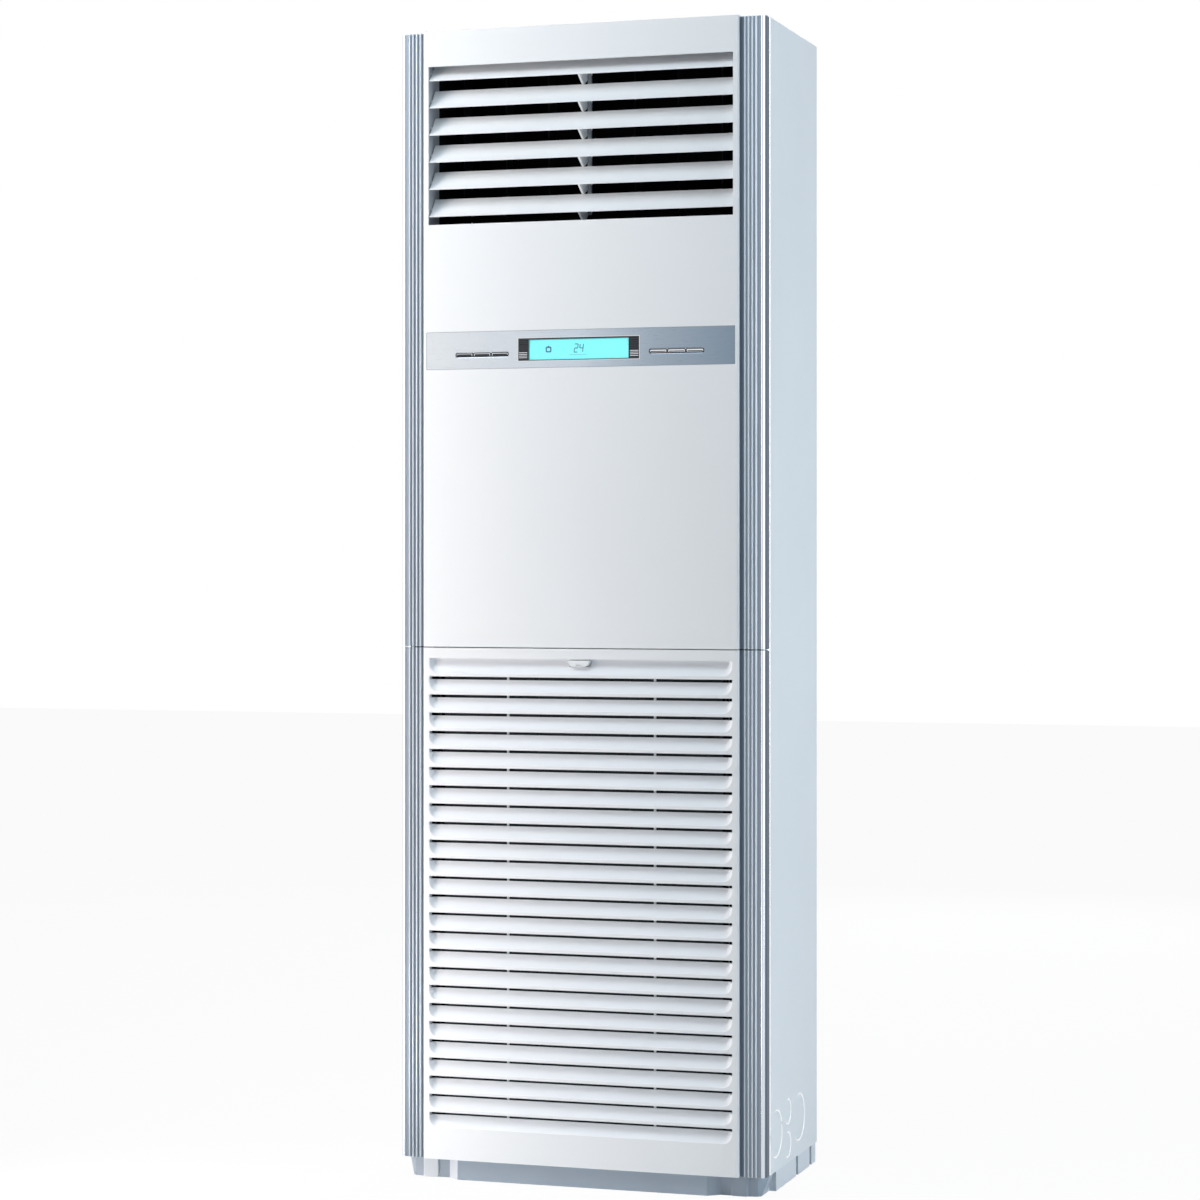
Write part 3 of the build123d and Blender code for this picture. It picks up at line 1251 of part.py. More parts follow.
def fan_motor():
    """Motor with a square flange on the rear of the housing and a bore for the shaft."""
    body = rod_y(0, SCROLL_REAR, SCROLL_REAR + MOTOR_LENGTH, FAN_HEIGHT, MOTOR_RADIUS)
    flange = MOTOR_FLANGE
    rear = SCROLL_REAR + MOTOR_FLANGE_SHEET
    body += block(-flange, flange, SCROLL_REAR, rear, FAN_HEIGHT - flange, FAN_HEIGHT + flange)
    mouth = (0, at_depth(SCROLL_REAR), FAN_HEIGHT)
    radius = SHAFT_RADIUS + RUNNING
    return body - peg(mouth, (0, 1, 0), MOTOR_BORE, radius, bearing=True, sides=TUBE_SIDES)


# ------------------------------------------------------------------ heat exchanger


def partition_plate():
    """Shelf above the fan, open over its outlet and cut round the pipes and the hose."""
    inner = HALF - SHEET
    shelf = block(-inner, inner, PARTITION_FRONT, REAR_INNER - FOLD, PARTITION_HEIGHT, PARTITION_TOP)
    hole = extrude(scroll_face(SHEET, PARTITION_HEIGHT), amount=SCROLL_WIDTH - 2 * SHEET, dir=(0, 1, 0))
    window = hole.bounding_box()
    throat = SCROLL_THROAT_X - SHEET
    rear = SCROLL_REAR - SHEET
    z0, z1 = PARTITION_HEIGHT - 1, PARTITION_TOP + 1
    shelf -= block(window.min.X, throat, SCROLL_FRONT + SHEET, rear, z0, z1)
    for along, radius in ((GAS_PIPE_ALONG, GAS_PIPE_RADIUS), (LIQUID_PIPE_ALONG, LIQUID_PIPE_RADIUS)):
        shelf -= peg_z(PIPE_X, pipe_depth(along), z0, z1, radius + FIT, True, TUBE_SIDES)
    return shelf - peg_z(-HOSE_X, hose_depth(), z0, z1, HOSE_RADIUS + FIT, True, TUBE_SIDES)


def hose_depth():
    return (PAN_FRONT + PAN_REAR) / 2


def coil_place():
    """Frame of the leaning coil: X along its width, Z up its length, origin at its lower end."""
    return Pos(0, at_depth(COIL_DEPTH), COIL_BOTTOM) * Rot(-COIL_LEAN, 0, 0)


def evaporator_fins():
    """Fin block, with the gaps between groups of fins cut into both faces."""
    fins = Pos(0, 0, COIL_LENGTH / 2) * Box(COIL_WIDTH, COIL_THICKNESS, COIL_LENGTH)
    pitch = COIL_WIDTH / COIL_FINS
    for side in (-1, 1):
        gaps = []
        for fin in range(COIL_FINS - 1):
            x = -COIL_WIDTH / 2 + (fin + 1) * pitch
            centre = Pos(x, side * COIL_THICKNESS / 2, COIL_LENGTH / 2)
            gaps.append(centre * Box(FIN_GAP, 2 * FIN_CUT, COIL_LENGTH - 2 * FIN_END))
        fins -= gaps
    return coil_place() * fins


def evaporator_tubes():
    """Return bends of the tube run, outside both end plates."""
    bends = []
    reach = COIL_WIDTH / 2 + COIL_PLATE
    for side in (-1, 1):
        for bend in range(TUBE_BENDS):
            z = TUBE_START + bend * 2 * TUBE_PITCH + (TUBE_PITCH if side < 0 else 0)
            bends.append(Pos(side * reach, 0, z) * Rot(90, 0, 90 - 90 * side) * return_bend())
    return coil_place() * Compound(children=bends)


def return_bend():
    """Half ring of tube in the XY plane, open towards -X."""
    ring = RegularPolygon(BEND_RADIUS + TUBE_RADIUS, TUBE_SIDES)
    ring -= RegularPolygon(BEND_RADIUS - TUBE_RADIUS, TUBE_SIDES)
    half = ring & Pos(BEND_RADIUS, 0) * Rectangle(2 * BEND_RADIUS, 4 * BEND_RADIUS)
    return Pos(0, 0, -TUBE_RADIUS) * extrude(half, amount=2 * TUBE_RADIUS)


def evaporator_plates():
    """End plates that hold the coil and stand on the shelf."""
    half = COIL_THICKNESS / 2 + COIL_MARGIN
    low = COIL_WIDTH / 2
    outer = low + COIL_PLATE
    centre = Pos((low + outer) / 2, 0, COIL_LENGTH / 2)
    plate = coil_place() * centre * Box(COIL_PLATE, 2 * half, COIL_LENGTH + 2 * COIL_MARGIN)
    front = COIL_DEPTH - COIL_FOOT[0]
    rear = COIL_DEPTH + COIL_FOOT[1]
    foot = block(low, outer, front, rear, PARTITION_TOP, COIL_BOTTOM + COIL_FOOT_LAP)
    foot += block(low, low + COIL_FOOT_TOE, front, rear, PARTITION_TOP, PARTITION_TOP + COIL_PLATE)
    gap = HOSE_RADIUS - HOSE_WALL + FIT
    middle = PARTITION_TOP + SPOUT_HEIGHT
    d0, d1 = hose_depth() - gap, hose_depth() + gap
    notch = block(-low - COIL_FOOT_TOE - 1, -low + 1, d0, d1, middle - gap, middle + gap)
    return both_sides(plate + foot) - notch


def drain_pan():
    """Trough under the coil with a spout at its left end."""
    half = COIL_WIDTH / 2 - PAN_SIDE_GAP
    low, high = PARTITION_TOP, PARTITION_TOP + PAN_HEIGHT
    pan = block(-half, half, PAN_FRONT, PAN_REAR, low, high)
    inner = half - PAN_WALL
    pan -= block(-inner, inner, PAN_FRONT + PAN_WALL, PAN_REAR - PAN_WALL, low + PAN_WALL, high + 1)
    reach = HOSE_X - HOSE_RADIUS - FIT
    middle = PARTITION_TOP + SPOUT_HEIGHT
    spout = peg_x(-reach, -half + 1, hose_depth(), middle, HOSE_RADIUS - HOSE_WALL)
    bore = peg_x(-reach - 1, -half + PAN_WALL + 1, hose_depth(), middle, HOSE_RADIUS - 2 * HOSE_WALL)
    return pan + spout - bore


def drain_hose():
    """Hose that hangs from the spout's elbow down to the base."""
    top = PARTITION_TOP + HOSE_RISE
    hose = peg_z(-HOSE_X, hose_depth(), HOSE_END, top, HOSE_RADIUS, sides=TUBE_SIDES)
    inner = HOSE_RADIUS - HOSE_WALL
    return hose - peg_z(-HOSE_X, hose_depth(), HOSE_END, top - HOSE_WALL, inner, sides=TUBE_SIDES)


def pipe(along, radius):
    """Copper pipe out of the coil's right end plate and down through the shelf."""
    start = COIL_WIDTH / 2 + COIL_PLATE
    y = at_depth(pipe_depth(along))
    z = COIL_BOTTOM + along * math.cos(math.radians(COIL_LEAN))
    bend = [(PIPE_X - PIPE_BEND, y, z), (PIPE_X, y, z - PIPE_BEND)]
    path = Polyline((start, y, z), *bend, (PIPE_X, y, PIPE_END))
    section = Plane(origin=path @ 0, z_dir=path % 0) * RegularPolygon(radius, TUBE_SIDES)
    return sweep(section, path=path, transition=Transition.RIGHT)


def pipe_depth(along):
    """Depth of a pipe that leaves the leaning coil this far up its length."""
    return COIL_DEPTH + along * math.sin(math.radians(COIL_LEAN))


def flare_nuts():
    """Hexagonal nuts on the lower ends of both pipes."""
    low = PIPE_END - NUT_HEIGHT
    nuts = []
    for along, radius in ((GAS_PIPE_ALONG, GAS_PIPE_RADIUS), (LIQUID_PIPE_ALONG, LIQUID_PIPE_RADIUS)):
        nuts.append(peg_z(PIPE_X, pipe_depth(along), low, PIPE_END, radius + NUT_RIM))
    return nuts


# ------------------------------------------------------------------ electric box


def box_span():
    top = PARTITION_HEIGHT
    return top - BOX_HEIGHT, top


def electric_box():
    """Steel tray hung under the shelf, open to the front."""
    low, top = box_span()
    front = BOX_FRONT + SHEET
    tray = block(BOX_LEFT, BOX_RIGHT, front, BOX_REAR, low, top)
    left, right = BOX_LEFT + SHEET, BOX_RIGHT - SHEET
    return tray - block(left, right, front - 1, BOX_REAR - SHEET, low + SHEET, top - SHEET)


def electric_cover():
    """Lid of the electric box, with louvred cooling slots."""
    low, top = box_span()
    lid = block(BOX_LEFT, BOX_RIGHT, BOX_FRONT, BOX_FRONT + SHEET, low, top)
    left, right = (BOX_RIGHT - inset for inset in COVER_SLOT_ENDS)
    for slot in range(COVER_SLOTS):
        z = low + COVER_SLOT_ABOVE + slot * COVER_SLOT_PITCH
        lid -= block(left, right, BOX_FRONT - 1, BOX_FRONT + SHEET + 1, z, z + COVER_SLOT_HEIGHT)
    return lid


def terminal_block():
    """Terminals on the back of the box, split by raised walls."""
    low = box_span()[0] + SHEET + TERMINAL_ABOVE
    high = low + TERMINAL_TALL
    rear = BOX_REAR - SHEET
    front = rear - TERMINAL_HEIGHT
    start = BOX_LEFT + TERMINAL_INSET
    body = block(start, start + TERMINALS * TERMINAL_PITCH + TERMINAL_WALL, front, rear, low, high)
    for bay in range(TERMINALS):
        end = start + (bay + 1) * TERMINAL_PITCH
        x = end - TERMINAL_PITCH + TERMINAL_WALL
        body -= block(x, end, front - 1, front + TERMINAL_BAY_DEPTH, low + TERMINAL_WALL, high + 1)
    return body


def capacitor():
    """Motor capacitor, upright on the floor of the box."""
    low = box_span()[0] + SHEET
    x = BOX_RIGHT - CAPACITOR_INSET
    depth = BOX_REAR - SHEET - CAPACITOR_RADIUS
    can = peg_z(x, depth, low, low + CAPACITOR_LENGTH, CAPACITOR_RADIUS, sides=2 * PIN_SIDES)
    radius, height = CAPACITOR_STUD
    return can + peg_z(x, depth, low + CAPACITOR_LENGTH, low + CAPACITOR_LENGTH + height, radius)


# ------------------------------------------------------------------ parts


def parts():
    made = {
        "base_tray": base_tray(),
        "side_panel_right": side_panel(),
        "side_panel_left": mirrored(side_panel()),
        "rear_panel": rear_panel(),
        "top_cover": top_cover(),
        "cabinet_screws": screws(),
        "trim_upper_right": trim(UPPER_BOTTOM, HEIGHT - TRIM_TOP_DROP),
        "trim_upper_left": mirrored(trim(UPPER_BOTTOM, HEIGHT - TRIM_TOP_DROP)),
        "trim_lower_right": trim(GRILLE_BOTTOM, GRILLE_TOP),
        "trim_lower_left": mirrored(trim(GRILLE_BOTTOM, GRILLE_TOP)),
        "front_panel_upper": front_panel_upper(),
        "control_fascia": control_fascia(),
        "display_bezel": display_bezel(),
        "display_lens": display_lens(),
        "lcd_panel": lcd_panel(),
        "control_board": control_board(),
        "outlet_frame": outlet_frame(),
        "vane_frame": vane_frame(),
        "louvre_link": louvre_link(),
        "vane_link": vane_link(),
        "swing_motor": swing_motor(),
        "intake_grille": intake_grille(),
        "grille_latch": grille_latch(),
        "air_filter": air_filter(),
        "fan_scroll": fan_scroll(),
        "inlet_ring": inlet_ring(),
        "fan_wheel": fan_wheel(),
        "fan_motor": fan_motor(),
        "partition_plate": partition_plate(),
        "evaporator_fins": evaporator_fins(),
        "evaporator_tubes": evaporator_tubes(),
        "evaporator_plates": evaporator_plates(),
        "drain_pan": drain_pan(),
        "drain_hose": drain_hose(),
        "gas_pipe": pipe(GAS_PIPE_ALONG, GAS_PIPE_RADIUS),
        "liquid_pipe": pipe(LIQUID_PIPE_ALONG, LIQUID_PIPE_RADIUS),
        "flare_nuts": flare_nuts(),
        "electric_box": electric_box(),
        "electric_cover": electric_cover(),
        "terminal_block": terminal_block(),
        "capacitor": capacitor(),
    }
    for number, x in enumerate(button_centres(), 1):
        made[f"button_{number}"] = button(x)
    for number, z in enumerate(louvre_heights(), 1):
        made[f"louvre_{number}"] = louvre(z, number == 1)
    for number, x in enumerate(vane_places(), 1):
        made[f"vane_{number}"] = vane(x, number - 1 == MOTOR_VANE, number == 1)
    return made


def main():
    os.makedirs("parts", exist_ok=True)
    for name, shape in parts().items():
        if isinstance(shape, (list, tuple)):
            shape = Compound(children=list(shape))
        export_step(shape, f"parts/{name}.step")


main()
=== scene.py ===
import json
import math

import bmesh
import bpy
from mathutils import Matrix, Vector

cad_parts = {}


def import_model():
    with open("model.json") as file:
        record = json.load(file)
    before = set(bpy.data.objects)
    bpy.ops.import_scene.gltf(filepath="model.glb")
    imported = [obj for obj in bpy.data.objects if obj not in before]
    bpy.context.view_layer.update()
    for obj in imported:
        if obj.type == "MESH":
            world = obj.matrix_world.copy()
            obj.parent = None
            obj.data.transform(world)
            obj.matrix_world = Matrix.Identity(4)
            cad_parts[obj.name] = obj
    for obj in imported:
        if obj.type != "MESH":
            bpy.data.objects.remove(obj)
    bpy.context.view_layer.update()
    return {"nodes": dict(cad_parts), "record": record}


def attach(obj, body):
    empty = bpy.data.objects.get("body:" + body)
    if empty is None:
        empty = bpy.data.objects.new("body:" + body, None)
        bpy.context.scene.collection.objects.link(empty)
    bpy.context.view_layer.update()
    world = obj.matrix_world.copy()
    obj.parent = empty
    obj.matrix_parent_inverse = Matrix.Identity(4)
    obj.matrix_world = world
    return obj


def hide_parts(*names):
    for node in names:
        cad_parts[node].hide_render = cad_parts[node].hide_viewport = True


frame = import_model()
NODES = frame["nodes"]
SLOT_OF_NODE = {row["node"]: row["material_slot"] for row in frame["record"]["subparts"]}
BODIES = {}
for body, nodes in frame["record"]["behaviour"]["bodies"].items():
    BODIES.update((node, body) for node in nodes)

MM = 0.001
TINY = 1e-6
WELD = 2e-6  # metres; corners closer than this become one
DEPTH = 340.0  # of the cabinet, in millimetres
HALF = 305.0


def at(x, depth, z):
    """A point in metres from an X, a depth behind the front plane and a height in millimetres."""
    return Vector((x * MM, (depth - DEPTH / 2) * MM, z * MM))


def turns(count):
    """Angles of equal steps all the way round."""
    return [2 * math.pi * i / count for i in range(count)]


QUARTER = [math.pi / 2 * step / 8 for step in range(9)]  # angles of a quarter turn


def linked(name, data):
    """A new object, in the scene."""
    made = bpy.data.objects.new(name, data)
    bpy.context.scene.collection.objects.link(made)
    return made


# -------------------- materials


MIDDLE = (0.3, 0.7)  # where a noise has most of its values
MIX_A, MIX_B, MIX_RESULT = 6, 7, 2  # the colour sockets of a Mix node


class Look:
    """One procedural material, built round a Principled shader."""

    def __init__(self, name):
        self.material = bpy.data.materials.new(name)
        self.material.use_nodes = True
        self.tree = self.material.node_tree
        self.shader = self.tree.nodes["Principled BSDF"]
        self.place = self.tree.nodes.new("ShaderNodeTexCoord").outputs["Object"]

    def node(self, kind, **values):
        made = self.tree.nodes.new(kind)
        for key, value in values.items():
            setattr(made, key, value)
        return made

    def link(self, start, end):
        self.tree.links.new(start, end)

    def stretched(self, scale):
        mapping = self.node("ShaderNodeMapping")
        mapping.inputs["Scale"].default_value = scale
        self.link(self.place, mapping.inputs["Vector"])
        return mapping.outputs["Vector"]

    def noise(self, scale, detail=2.0, stretch=(1, 1, 1)):
        texture = self.node("ShaderNodeTexNoise")
        texture.inputs["Scale"].default_value = scale
        texture.inputs["Detail"].default_value = detail
        self.link(self.stretched(stretch), texture.inputs["Vector"])
        return texture.outputs["Fac"]

    def wave(self, direction, scale):
        texture = self.node("ShaderNodeTexWave", wave_type="BANDS", bands_direction=direction)
        texture.inputs["Scale"].default_value = scale
        self.link(self.place, texture.inputs["Vector"])
        return texture.outputs["Fac"]

    def math(self, operation, *values):
        made = self.node("ShaderNodeMath", operation=operation)
        for socket, value in zip(made.inputs, values):
            if isinstance(value, (int, float)):
                socket.default_value = value
            else:
                self.link(value, socket)
        return made.outputs[0]

    def ramp(self, fac, stops):
        made = self.node("ShaderNodeValToRGB")
        elements = made.color_ramp.elements
        while len(elements) < len(stops):
            elements.new(0.5)
        for element, (position, colour) in zip(elements, stops):
            element.position = position
            element.color = (*colour, 1.0)
        self.link(fac, made.inputs["Fac"])
        return made.outputs["Color"]

    def tint(self, fac, *stops):
        """Base colour from stops, each a position and a colour."""
        self.link(self.ramp(fac, stops), self.shader.inputs["Base Color"])

    def varied(self, fac, colour, vary):
        """Base colour a little darker and lighter than the one given."""
        low, high = MIDDLE
        self.tint(fac, (low, shade(colour, 1 - vary)), (high, shade(colour, 1 + vary)))

    def gloss(self, fac, low, high):
        """Roughness that runs from low to high."""
        made = self.node("ShaderNodeMapRange")
        values = {"From Min": MIDDLE[0], "From Max": MIDDLE[1], "To Min": low, "To Max": high}
        for key, value in values.items():
            made.inputs[key].default_value = value
        self.link(fac, made.inputs["Value"])
        self.link(made.outputs["Result"], self.shader.inputs["Roughness"])

    def bump(self, height, strength, distance):
        made = self.node("ShaderNodeBump")
        made.inputs["Strength"].default_value = strength
        made.inputs["Distance"].default_value = distance
        self.link(height, made.inputs["Height"])
        self.link(made.outputs["Normal"], self.shader.inputs["Normal"])

    def fixed(self, **values):
        for key, value in values.items():
            self.shader.inputs[key.replace("_", " ")].default_value = value


def shade(colour, factor):
    return tuple(min(1.0, channel * factor) for channel in colour)


def moulded(name, colour, rough=0.35, vary=0.03, grain=900.0, bump=0.04, **fixed):
    """Injection moulded plastic: faint flow marks in the colour and a fine grain."""
    look = Look(name)
    look.varied(look.noise(7.0, 4.0, (1, 1, 0.35)), colour, vary)
    fine = look.noise(grain, 3.0)
    look.gloss(fine, rough - 0.05, rough + 0.05)
    look.bump(fine, bump, 0.0004)
    look.fixed(**fixed)
    return look


def black(name, colour, rough, vary, grain=900.0, bump=0.04):
    """Black plastic or foam with hardly any shine."""
    return moulded(name, colour, rough, vary, grain, bump, Specular_IOR_Level=0.05)


def painted(name, colour, rough=0.4, vary=0.02):
    """Powder coated sheet: a soft orange peel and slightly uneven gloss."""
    look = Look(name)
    look.varied(look.noise(3.0, 3.0), colour, vary)
    peel = look.noise(320.0, 2.0)
    look.gloss(peel, rough - 0.04, rough + 0.06)
    look.bump(peel, 0.05, 0.0006)
    return look


def brushed(
    name, colour, rough=0.32, stretch=(0.02, 1, 1), grain=1400.0, vary=0.06, bump=0.08, uneven=0.09
):
    """Metal with a drawn grain along the axis that stretch shortens."""
    look = Look(name)
    lines = look.noise(grain, 2.0, stretch)
    look.varied(lines, colour, vary)
    look.gloss(lines, rough - uneven, rough + uneven)
    look.bump(lines, bump, 0.0003)
    look.fixed(Metallic=1.0)
    return look


STRIP_HALF = 0.26  # metres, from the middle to where the tint ends
# painted light and shade across the strip, from its left end to its right
STRIP_LIGHT_AND_SHADE = (
    (0.0, (0.61, 0.64, 0.67)),
    (0.28, (0.58, 0.62, 0.67)),
    (0.5, (0.52, 0.58, 0.65)),
    (0.74, (0.31, 0.37, 0.44)),
    (1.0, (0.20, 0.26, 0.33)),
)


def strip_painted_light(name):
    """Brushed strip with painted light and shade: pale silver on the left, darkening to steel on
    the right.
    """
    look = brushed(name, (0.985, 0.985, 0.985), 0.3, (0.02, 1, 1), 2600.0, 0.008, 0.006, 0.03)
    axes = look.node("ShaderNodeSeparateXYZ")
    look.link(look.place, axes.inputs[0])
    across = look.node("ShaderNodeMapRange")
    across.inputs["From Min"].default_value = -STRIP_HALF
    across.inputs["From Max"].default_value = STRIP_HALF
    look.link(axes.outputs["X"], across.inputs["Value"])
    mix = look.node("ShaderNodeMix", data_type="RGBA", blend_type="MULTIPLY")
    mix.inputs["Factor"].default_value = 1.0
    base = look.shader.inputs["Base Color"]
    look.link(base.links[0].from_socket, mix.inputs[MIX_A])
    look.link(look.ramp(across.outputs["Result"], STRIP_LIGHT_AND_SHADE), mix.inputs[MIX_B])
    look.link(mix.outputs[MIX_RESULT], base)
    return look


def spangled(name, colour):
    """Galvanised sheet: dull crystals of slightly different grey."""
    look = Look(name)
    rough = 0.42
    cells = look.node("ShaderNodeTexVoronoi")
    cells.inputs["Scale"].default_value = 140.0
    look.link(look.place, cells.inputs["Vector"])
    grey = look.node("ShaderNodeRGBToBW")
    look.link(cells.outputs["Color"], grey.inputs["Color"])
    value = grey.outputs["Val"]
    look.tint(value, (0.1, shade(colour, 0.9)), (0.9, shade(colour, 1.06)))
    look.gloss(value, rough - 0.06, rough + 0.08)
    look.bump(value, 0.03, 0.0003)
    look.fixed(Metallic=0.9)
    return look


def finned(name, colour):
    """Close fins in painted shade: the colour given, with darker upright lines a little under 2 mm
    apart for the shade between them.
    """
    look = Look(name)
    fins = look.wave("X", 175.0)
    look.tint(fins, (0.1, shade(colour, 0.35)), (0.75, colour))
    look.gloss(fins, 0.45, 0.3)
    look.bump(fins, 0.4, 0.001)
    look.fixed(Specular_IOR_Level=0.15)
    return look


def netted(name, colour):
    """Filter net: a fine square weave that shows as small dark holes."""
    look = Look(name)
    weave = look.math("MAXIMUM", look.wave("X", 200.0), look.wave("Z", 200.0))
    look.tint(weave, (0.45, shade(colour, 0.3)), (0.9, colour))
    look.gloss(weave, 0.7, 0.5)
    look.bump(weave, 0.4, 0.0006)
    return look


def lit(name, colour, strength):
    """Back-lit display: light that is almost even, with faint scan lines."""
    look = Look(name)
    light = look.math("MULTIPLY_ADD", look.wave("Z", 300.0), 0.08, look.noise(6.0, 1.0))
    shown = look.ramp(light, [(0.3, shade(colour, 0.96)), (0.75, shade(colour, 1.02))])
    look.link(shown, look.shader.inputs["Base Color"])
    look.link(shown, look.shader.inputs["Emission Color"])
    look.fixed(Emission_Strength=strength, Roughness=0.25)
    return look


def clear(name):
    """Thin clear window with a hint of haze."""
    look = Look(name)
    haze = look.noise(240.0, 2.0)
    look.gloss(haze, 0.01, 0.04)
    look.tint(haze, (0.2, (0.96, 0.99, 1.0)), (0.8, (1.0, 1.0, 1.0)))
    look.fixed(Transmission_Weight=1.0, IOR=1.3)
    return look


TRIM_GRAIN = ((1, 1, 0.004), 2600.0, 0.02, 0.01)  # stretch, scale, variation and bump

RECIPES = {
    "base": (moulded, (0.36, 0.42, 0.49), 0.42, 0.04),
    "side_sheet": (painted, (0.80, 0.82, 0.84), 0.36),
    "galvanised": (spangled, (0.62, 0.64, 0.66)),
    "screw": (brushed, (0.62, 0.63, 0.65), 0.3, (1, 1, 1)),
    # the trims: plain silver, a painted highlight for the bead, and painted shade for the valleys,
    # the lit left trims' groove and the right trims' groove
    "silver_trim": (brushed, (0.43, 0.48, 0.53), 0.38, *TRIM_GRAIN),
    "trim_bead": (brushed, (0.66, 0.70, 0.75), 0.3, *TRIM_GRAIN),
    "trim_valley": (brushed, (0.22, 0.26, 0.31), 0.42, *TRIM_GRAIN),
    "trim_shade": (brushed, (0.33, 0.38, 0.43), 0.42, *TRIM_GRAIN),
    "trim_groove": (brushed, (0.10, 0.13, 0.17), 0.42, *TRIM_GRAIN),
    "front_white": (moulded, (0.87, 0.88, 0.89), 0.32, 0.006),
    # the pockets' white, a little darker than the front: painted shade
    "pocket_white": (moulded, (0.80, 0.82, 0.85), 0.4, 0.006),
    "duct_white": (moulded, (0.45, 0.48, 0.52), 0.5),
    # bright bare metal at the knock-outs' cut edges, also a painted highlight on the side panels'
    # front folds
    "cut_edge": (brushed, (0.95, 0.96, 0.97), 0.2, (1, 1, 1), 900.0, 0.02, 0.02),
    "foam_black": (black, (0.004, 0.004, 0.005), 0.9, 0.3, 400.0, 0.4),
    # lighter plastic of the side skirts, also painted light on the front skirt's left pad and step
    "base_side": (moulded, (0.70, 0.74, 0.78), 0.4, 0.03),
    "duct_black": (black, (0.005, 0.005, 0.007), 0.6, 0.2),
    "silver_strip": (strip_painted_light,),
    # dark frame round the control strip: painted shadow of its gap
    "strip_gap": (moulded, (0.24, 0.26, 0.29), 0.5, 0.05),
    "bezel_dark": (moulded, (0.022, 0.025, 0.03), 0.3, 0.1),
    "lens": (clear,),
    "lcd": (lit, (0.14, 0.60, 0.63), 0.72),
    "lcd_ink": (moulded, (0.02, 0.16, 0.30), 0.4, 0.1),
    "lcd_faint": (moulded, (0.02, 0.20, 0.26), 0.4, 0.1),
    "board_green": (moulded, (0.02, 0.16, 0.07), 0.4, 0.2),
    "link_grey": (moulded, (0.36, 0.39, 0.43), 0.45, 0.05),
    "motor_grey": (painted, (0.22, 0.23, 0.25), 0.4, 0.05),
    "filter_blue": (netted, (0.035, 0.045, 0.065)),
    "wheel_dark": (spangled, (0.35, 0.36, 0.38)),
    # fins near black: painted shade inside the outlet
    "fin_black": (finned, (0.008, 0.008, 0.011)),
    "copper": (brushed, (0.72, 0.36, 0.22), 0.3, (1, 1, 0.1), 300.0, 0.15),
    "brass_nut": (brushed, (0.76, 0.58, 0.26), 0.25, (1, 1, 0.05)),
    "pan_white": (moulded, (0.74, 0.74, 0.72), 0.6, 0.04),
    "hose_grey": (moulded, (0.42, 0.43, 0.44), 0.7, 0.08),
    "button_chrome": (brushed, (0.80, 0.82, 0.85), 0.1, (0.05, 1, 1), 600.0, 0.03, 0.02),
    "button_line": (moulded, (0.012, 0.014, 0.018), 0.2, 0.1),
    # the blades a little whiter than the front: painted light
    "louvre_white": (moulded, (0.93, 0.94, 0.95), 0.34, 0.006),
    "vane_black": (black, (0.005, 0.005, 0.007), 0.6, 0.2),
}
LOOKS = {name: make(name, *values) for name, (make, *values) in RECIPES.items()}
LOOK_OF_SLOT = {"fin_aluminium": "fin_black"}  # the fins near black, as painted shade; the others have the name of their slot
# the evaporator plates are dressed in black as painted shade inside the outlet
LOOK_OF_NODE = {"vane_link": "vane_black", "evaporator_plates": "duct_black"}


for name, obj in NODES.items():
    slot = SLOT_OF_NODE[name]
    look = LOOK_OF_NODE.get(name, LOOK_OF_SLOT.get(slot, slot))
    obj.data.materials.clear()
    obj.data.materials.append(LOOKS[look].material)


# -------------------- mesh making


